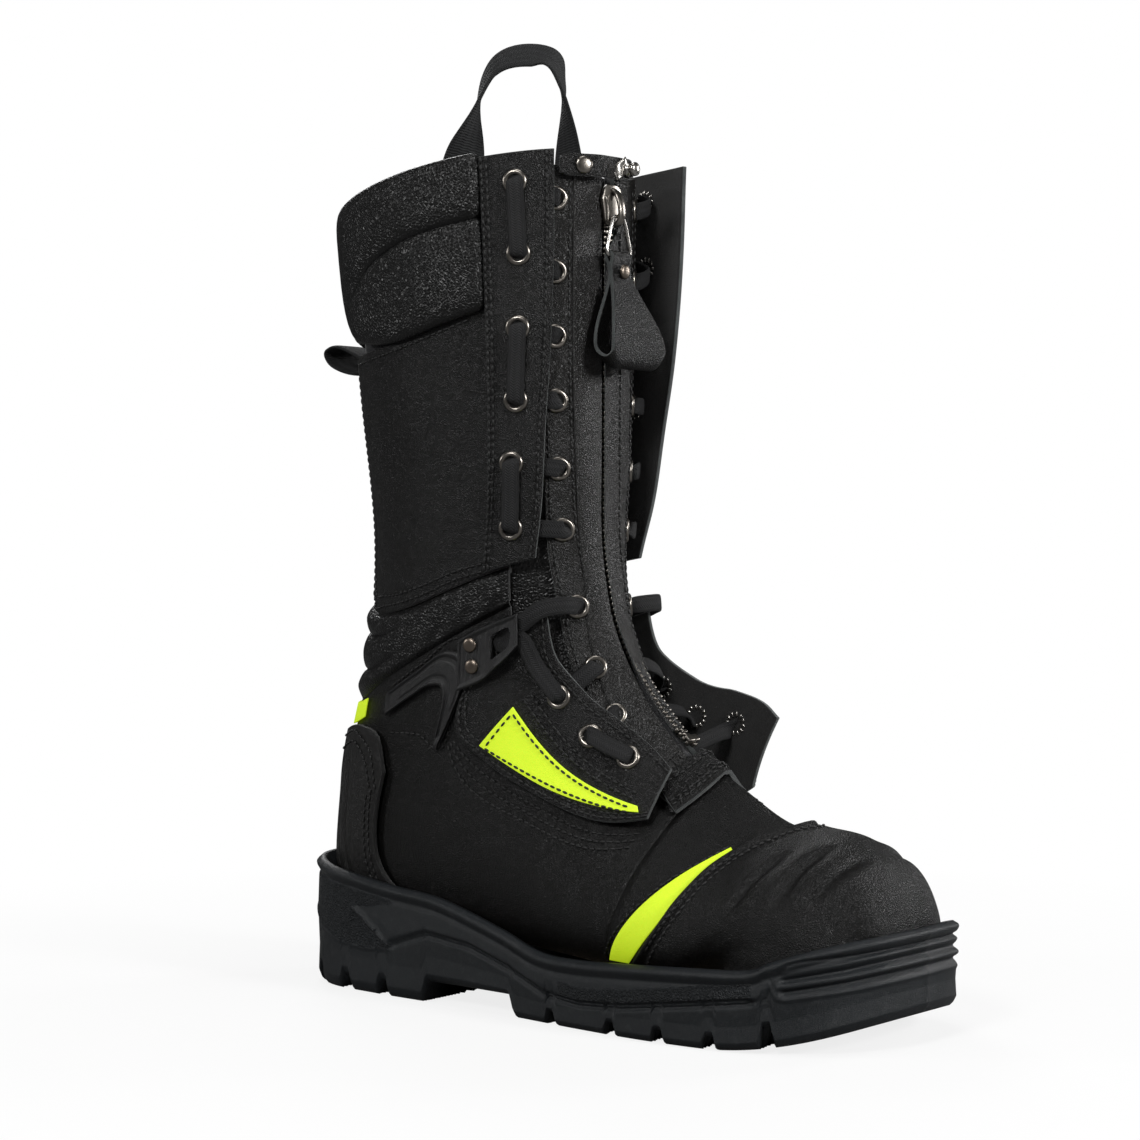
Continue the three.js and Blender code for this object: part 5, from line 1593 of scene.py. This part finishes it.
def soleRelief(y, z, w):
    below = rimHeight(y) - z
    d = sole["lip"] * bump(below, 2.2, 2.0) - 0.7 * bump(below, 6.0, 1.1)
    wave, side, along = lineDistance(waveLine, y, z)
    serration = 0.5 + 0.5 * np.sin(along * 2 * np.pi / 2.3)
    d -= sole["wave"] * bump(wave, 0.6, 0.9) * (0.65 + 0.35 * serration * ease(6, 20, along))
    d += 0.45 * (side < 0) * (1 - ease(1.5, 14, wave))
    arrow, side, _ = lineDistance(arrowLine, y, z)
    d += sole["arrow"] * bump(arrow, 0, 1.0)
    step, side, _ = lineDistance(stepLine, y, z)
    d -= 0.9 * bump(step, 0, 0.8)
    for path in toeLines:
        groove, _, _ = lineDistance(path, y, z)
        d -= sole["toeGroove"] * bump(groove, 0, 1.2)
        d += 0.5 * bump(groove, 3, 0.9)
    heel, _, _ = lineDistance(heelLine, y, z)
    d += 0.5 * bump(heel, 0, 0.8)
    return d * ease(0.03, 0.12, w)


def stippleAt(y, z, w):
    below = rimHeight(y) - z
    arrow, arrowSide, _ = lineDistance(arrowLine, y, z)
    wave, _, _ = lineDistance(waveLine, y, z)
    heelBack = (below > 6.5) & (z > np.interp(y, [80, 96, 112, 128, 145], [21.5, 20.2, 21.8, 28, 37]))
    behindArrow = y > np.interp(z, [22.5, 33.5, 37.5, 38.5, 44], [79.5, 96, 104, 92, 60])
    waveTop = np.interp(y, [-114, -93, -55, -32, -22], [20, 17.4, 12.2, 10.6, 11])
    overWave = (wave > 1.6) & (wave < 7) & (y < -22) & (y > -114) & (z > waveTop)
    return ((heelBack & behindArrow) | overWave).astype(float) * (w > 0)


# each groove of the tread: place, half width, slant, depth
grooves = [
    (-112, 2.7, 0.16, 8.5), (-88, 2.7, 0.16, 5), (-64, 2.7, 0.16, 5), (-40, 2.7, 0.16, 5), (-16, 2.7, 0, 5),
    (84, 3.2, 0, 6), (108, 3.2, 0, 6), (129, 2.6, 0, 7)
]


def treadDepth(x, y):
    depth = np.zeros_like(x)
    for at, half, slant, deep in grooves:
        away = np.abs(y - at - slant * x * (1 if at < 0 else 0)) / half
        depth = np.maximum(depth, deep * np.clip(1.15 - away**4, 0, 1))
    channel = np.clip((np.abs((x / 14) % 1 - 0.5) - 0.42) * 40, 0, 1) * 2.5 * (np.abs(x) < 40)
    lug = np.where((y < -20) & (y > -140), channel, 0)
    arch = ease(5, 9, y) * (1 - ease(57, 60.5, y))
    return np.maximum(np.maximum(depth, lug), 9 * arch)


def soleGrid():
    around, bottomRows, wallRows, insideRows = 720, 22, 74, 5
    dense = smoothPath([[x, y, 0] for x, y in soleOutline], around + 1)
    dense[-1] = dense[0]
    tangent = np.roll(dense[:-1], -1, 0) - np.roll(dense[:-1], 1, 0)
    tangent = unit(np.vstack([tangent, tangent[:1]]))
    rows = bottomRows + wallRows + insideRows
    marks = {}

    def toPoint(s, t):
        i = np.rint(s * around).astype(int)
        r = np.rint(t * rows).astype(int)
        share = np.ones_like(s)
        under = r < bottomRows
        share[under] = (r[under] / bottomRows) ** 0.8
        w = np.clip((r - bottomRows) / wallRows, 0, 1)
        out = np.interp(
            w, [0, 0.03, 0.09, 0.3, 0.6, 0.88, 0.96, 1], [-2.5, -1.0, 0.2, -0.2, 0.5, 0.0, -0.5, -1.6]
        )
        out[under] = -2.5 * share[under]
        inside = r - bottomRows - wallRows
        out = np.where(
            inside >= 1, np.interp(inside, [0, 1, 2, 3, 4, 5], [-1.6, -3, -3.6, -6, -6, -6]), out
        )
        share = np.where(inside >= 4, np.where(inside >= 5, 0.0, 0.5), share)
        q, d = dense[i], tangent[i]
        x = (q[:, 0] - d[:, 1] * out) * share
        y = -1.5 + (q[:, 1] + d[:, 0] * out + 1.5) * share
        low = toeSpring(y) + treadDepth(x, y)
        rim = rimHeight(y)
        z = low + (rim - low) * w
        extra = np.where((r >= bottomRows) & (inside < 1), soleRelief(y, z, w), 0)
        x = x - d[:, 1] * extra
        y = y + d[:, 0] * extra
        z = np.where(inside == 2, (rim + soleFloor(y)) / 2, z)
        z = np.where(inside >= 3, soleFloor(y), z)
        marks["stipple"] = np.where(inside < 1, stippleAt(y, z, w) * (r >= bottomRows), 0)
        return np.stack([x, y, z], 1)

    bm = bmesh.new()
    bmesh.ops.create_grid(bm, x_segments=around, y_segments=rows, size=0.5)
    st = np.array([(v.co.x + 0.5, v.co.y + 0.5) for v in bm.verts])
    points = metres(toPoint(st[:, 0], st[:, 1]))
    layer = bm.verts.layers.float.new("stipple")
    for v, point, mark in zip(bm.verts, points, marks["stipple"]):
        v.co = point
        v[layer] = mark
    bmesh.ops.remove_doubles(bm, verts=bm.verts, dist=1e-6)
    bmesh.ops.dissolve_degenerate(bm, dist=1e-7, edges=bm.edges)
    bmesh.ops.recalc_face_normals(bm, faces=bm.faces)
    return bm


addPiece("sole_unit", soleGrid(), "rubber", "boot", ["midsole", "outsole"])


def footbedPoint(s, t):
    dense = smoothPath([[x, y, 0] for x, y in soleOutline], 181)
    dense[-1] = dense[0]
    tangent = np.gradient(dense, axis=0)
    tangent = unit(tangent)
    i = np.rint(s * 180).astype(int)
    r = np.rint(t * 24).astype(int)
    share = np.where(r <= 12, r / 12, (24 - r) / 12)
    q, d = dense[i], tangent[i]
    x = (q[:, 0] + d[:, 1] * 15) * 0.77 * share
    y = -1.5 + (q[:, 1] - d[:, 0] * 15 + 1.5) * 0.77 * share
    cup = 1.2 * share**6
    z = soleFloor(y) + np.where(r <= 12, 5.4, 7.4 + cup)
    return np.stack([x, y, z], 1)


addPiece(
    "footbed_cloth", mapGrid(180, 24, footbedPoint, close=True), "lining", "boot", ["footbed"]
)
print("sole")

# CAD nodes that stay: their own shape with the right finish
kept = {"safety_toe_cap": "steel", "heel_stiffener": "plastic", "insole_board": "board"}
for nodeName, look in kept.items():
    node = bpy.data.objects.get(nodeName)
    for slotOf in node.material_slots:
        slotOf.material = materials[look]

# stage, lights, camera
stage = {"floor": 6.0, "fadeFrom": 0.18, "fadeTo": 0.5, "world": 0.05}


def buildFloor():
    bm = bmesh.new()
    bmesh.ops.create_circle(bm, cap_ends=True, segments=96, radius=stage["floor"])
    mesh = bpy.data.meshes.new("floor")
    bm.to_mesh(mesh)
    bm.free()
    floor = bpy.data.objects.new("floor", mesh)
    bpy.context.scene.collection.objects.link(floor)
    material, tree, shader = newMaterial("floor_paper", Roughness=0.9)
    place3d = tree.nodes.new("ShaderNodeTexCoord").outputs["Object"]
    length = tree.nodes.new("ShaderNodeVectorMath")
    length.operation = "LENGTH"
    tree.links.new(place3d, length.inputs[0])
    fade = mapRange(tree, length.outputs["Value"], stage["fadeFrom"], stage["fadeTo"], 0.82, 1.0)
    paper = noiseNode(tree, place3d, 60, 3)
    tree.links.new(
        mixColours(tree, paper, (0.93, 0.93, 0.93), (0.96, 0.96, 0.96)), shader.inputs["Base Color"]
    )
    glow = tree.nodes.new("ShaderNodeEmission")
    glow.inputs["Color"].default_value = (1, 1, 1, 1)
    glow.inputs["Strength"].default_value = 1.0
    blendNode = tree.nodes.new("ShaderNodeMixShader")
    tree.links.new(fade, blendNode.inputs[0])
    tree.links.new(shader.outputs[0], blendNode.inputs[1])
    tree.links.new(glow.outputs[0], blendNode.inputs[2])
    dull = tree.nodes.new("ShaderNodeBsdfDiffuse")  # what the boot sees of the floor
    dull.inputs["Color"].default_value = (0.22, 0.22, 0.22, 1)
    seen = tree.nodes.new("ShaderNodeMixShader")
    tree.links.new(tree.nodes.new("ShaderNodeLightPath").outputs["Is Camera Ray"], seen.inputs[0])
    tree.links.new(dull.outputs[0], seen.inputs[1])
    tree.links.new(blendNode.outputs[0], seen.inputs[2])
    tree.links.new(seen.outputs[0], tree.nodes["Material Output"].inputs["Surface"])
    mesh.materials.append(material)


buildFloor()
scene = bpy.context.scene
scene.view_settings.view_transform = "Standard"
world = bpy.data.worlds.new("studio")
scene.world = world
world.use_nodes = True
tree = world.node_tree
back = tree.nodes["Background"]
back.inputs["Color"].default_value = (1, 1, 1, 1)
back.inputs["Strength"].default_value = stage["world"]
bright = tree.nodes.new("ShaderNodeBackground")
bright.inputs["Color"].default_value = (1, 1, 1, 1)
bright.inputs["Strength"].default_value = 1.0
chooser = tree.nodes.new("ShaderNodeMixShader")
tree.links.new(tree.nodes.new("ShaderNodeLightPath").outputs["Is Camera Ray"], chooser.inputs[0])
tree.links.new(back.outputs[0], chooser.inputs[1])
tree.links.new(bright.outputs[0], chooser.inputs[2])
tree.links.new(chooser.outputs[0], tree.nodes["World Output"].inputs["Surface"])

target = metres([[1.6, 17.95, 184.58]])[0]


def standAt(thing, azimuth, elevation, distance):  # round the boot, facing the target
    a, e = math.radians(azimuth), math.radians(elevation)
    direction = Vector((math.sin(a) * math.cos(e), -math.cos(a) * math.cos(e), math.sin(e)))
    thing.location = Vector(target) + direction * distance
    thing.rotation_mode = "QUATERNION"
    thing.rotation_quaternion = direction.to_track_quat("Z", "Y")
    scene.collection.objects.link(thing)


def areaLight(name, azimuth, elevation, distance, size, power):
    data = bpy.data.lights.new(name, "AREA")
    data.shape = "DISK"
    data.size = size
    data.energy = power
    lamp = bpy.data.objects.new(name, data)
    standAt(lamp, azimuth, elevation, distance)


areaLight("key", -78, 34, 1.5, 0.34, 9)
areaLight("front", 2, 20, 1.6, 0.34, 15)
areaLight("overhead", -40, 80, 1.4, 0.7, 4)
areaLight("behind", 140, 30, 1.8, 0.8, 9)
areaLight("rim", 66, 16, 1.7, 0.5, 8)
areaLight("heel", -138, 18, 1.7, 0.35, 5)

cameraData = bpy.data.cameras.new("camera")
cameraLook = {"lens": 81.05, "distance": 1.10718, "azimuth": -51.34, "elevation": 0.58}
cameraData.lens = cameraLook["lens"]
cameraData.sensor_width = 36
camera = bpy.data.objects.new("camera", cameraData)
standAt(camera, cameraLook["azimuth"], cameraLook["elevation"], cameraLook["distance"])
scene.camera = camera
print("stage")
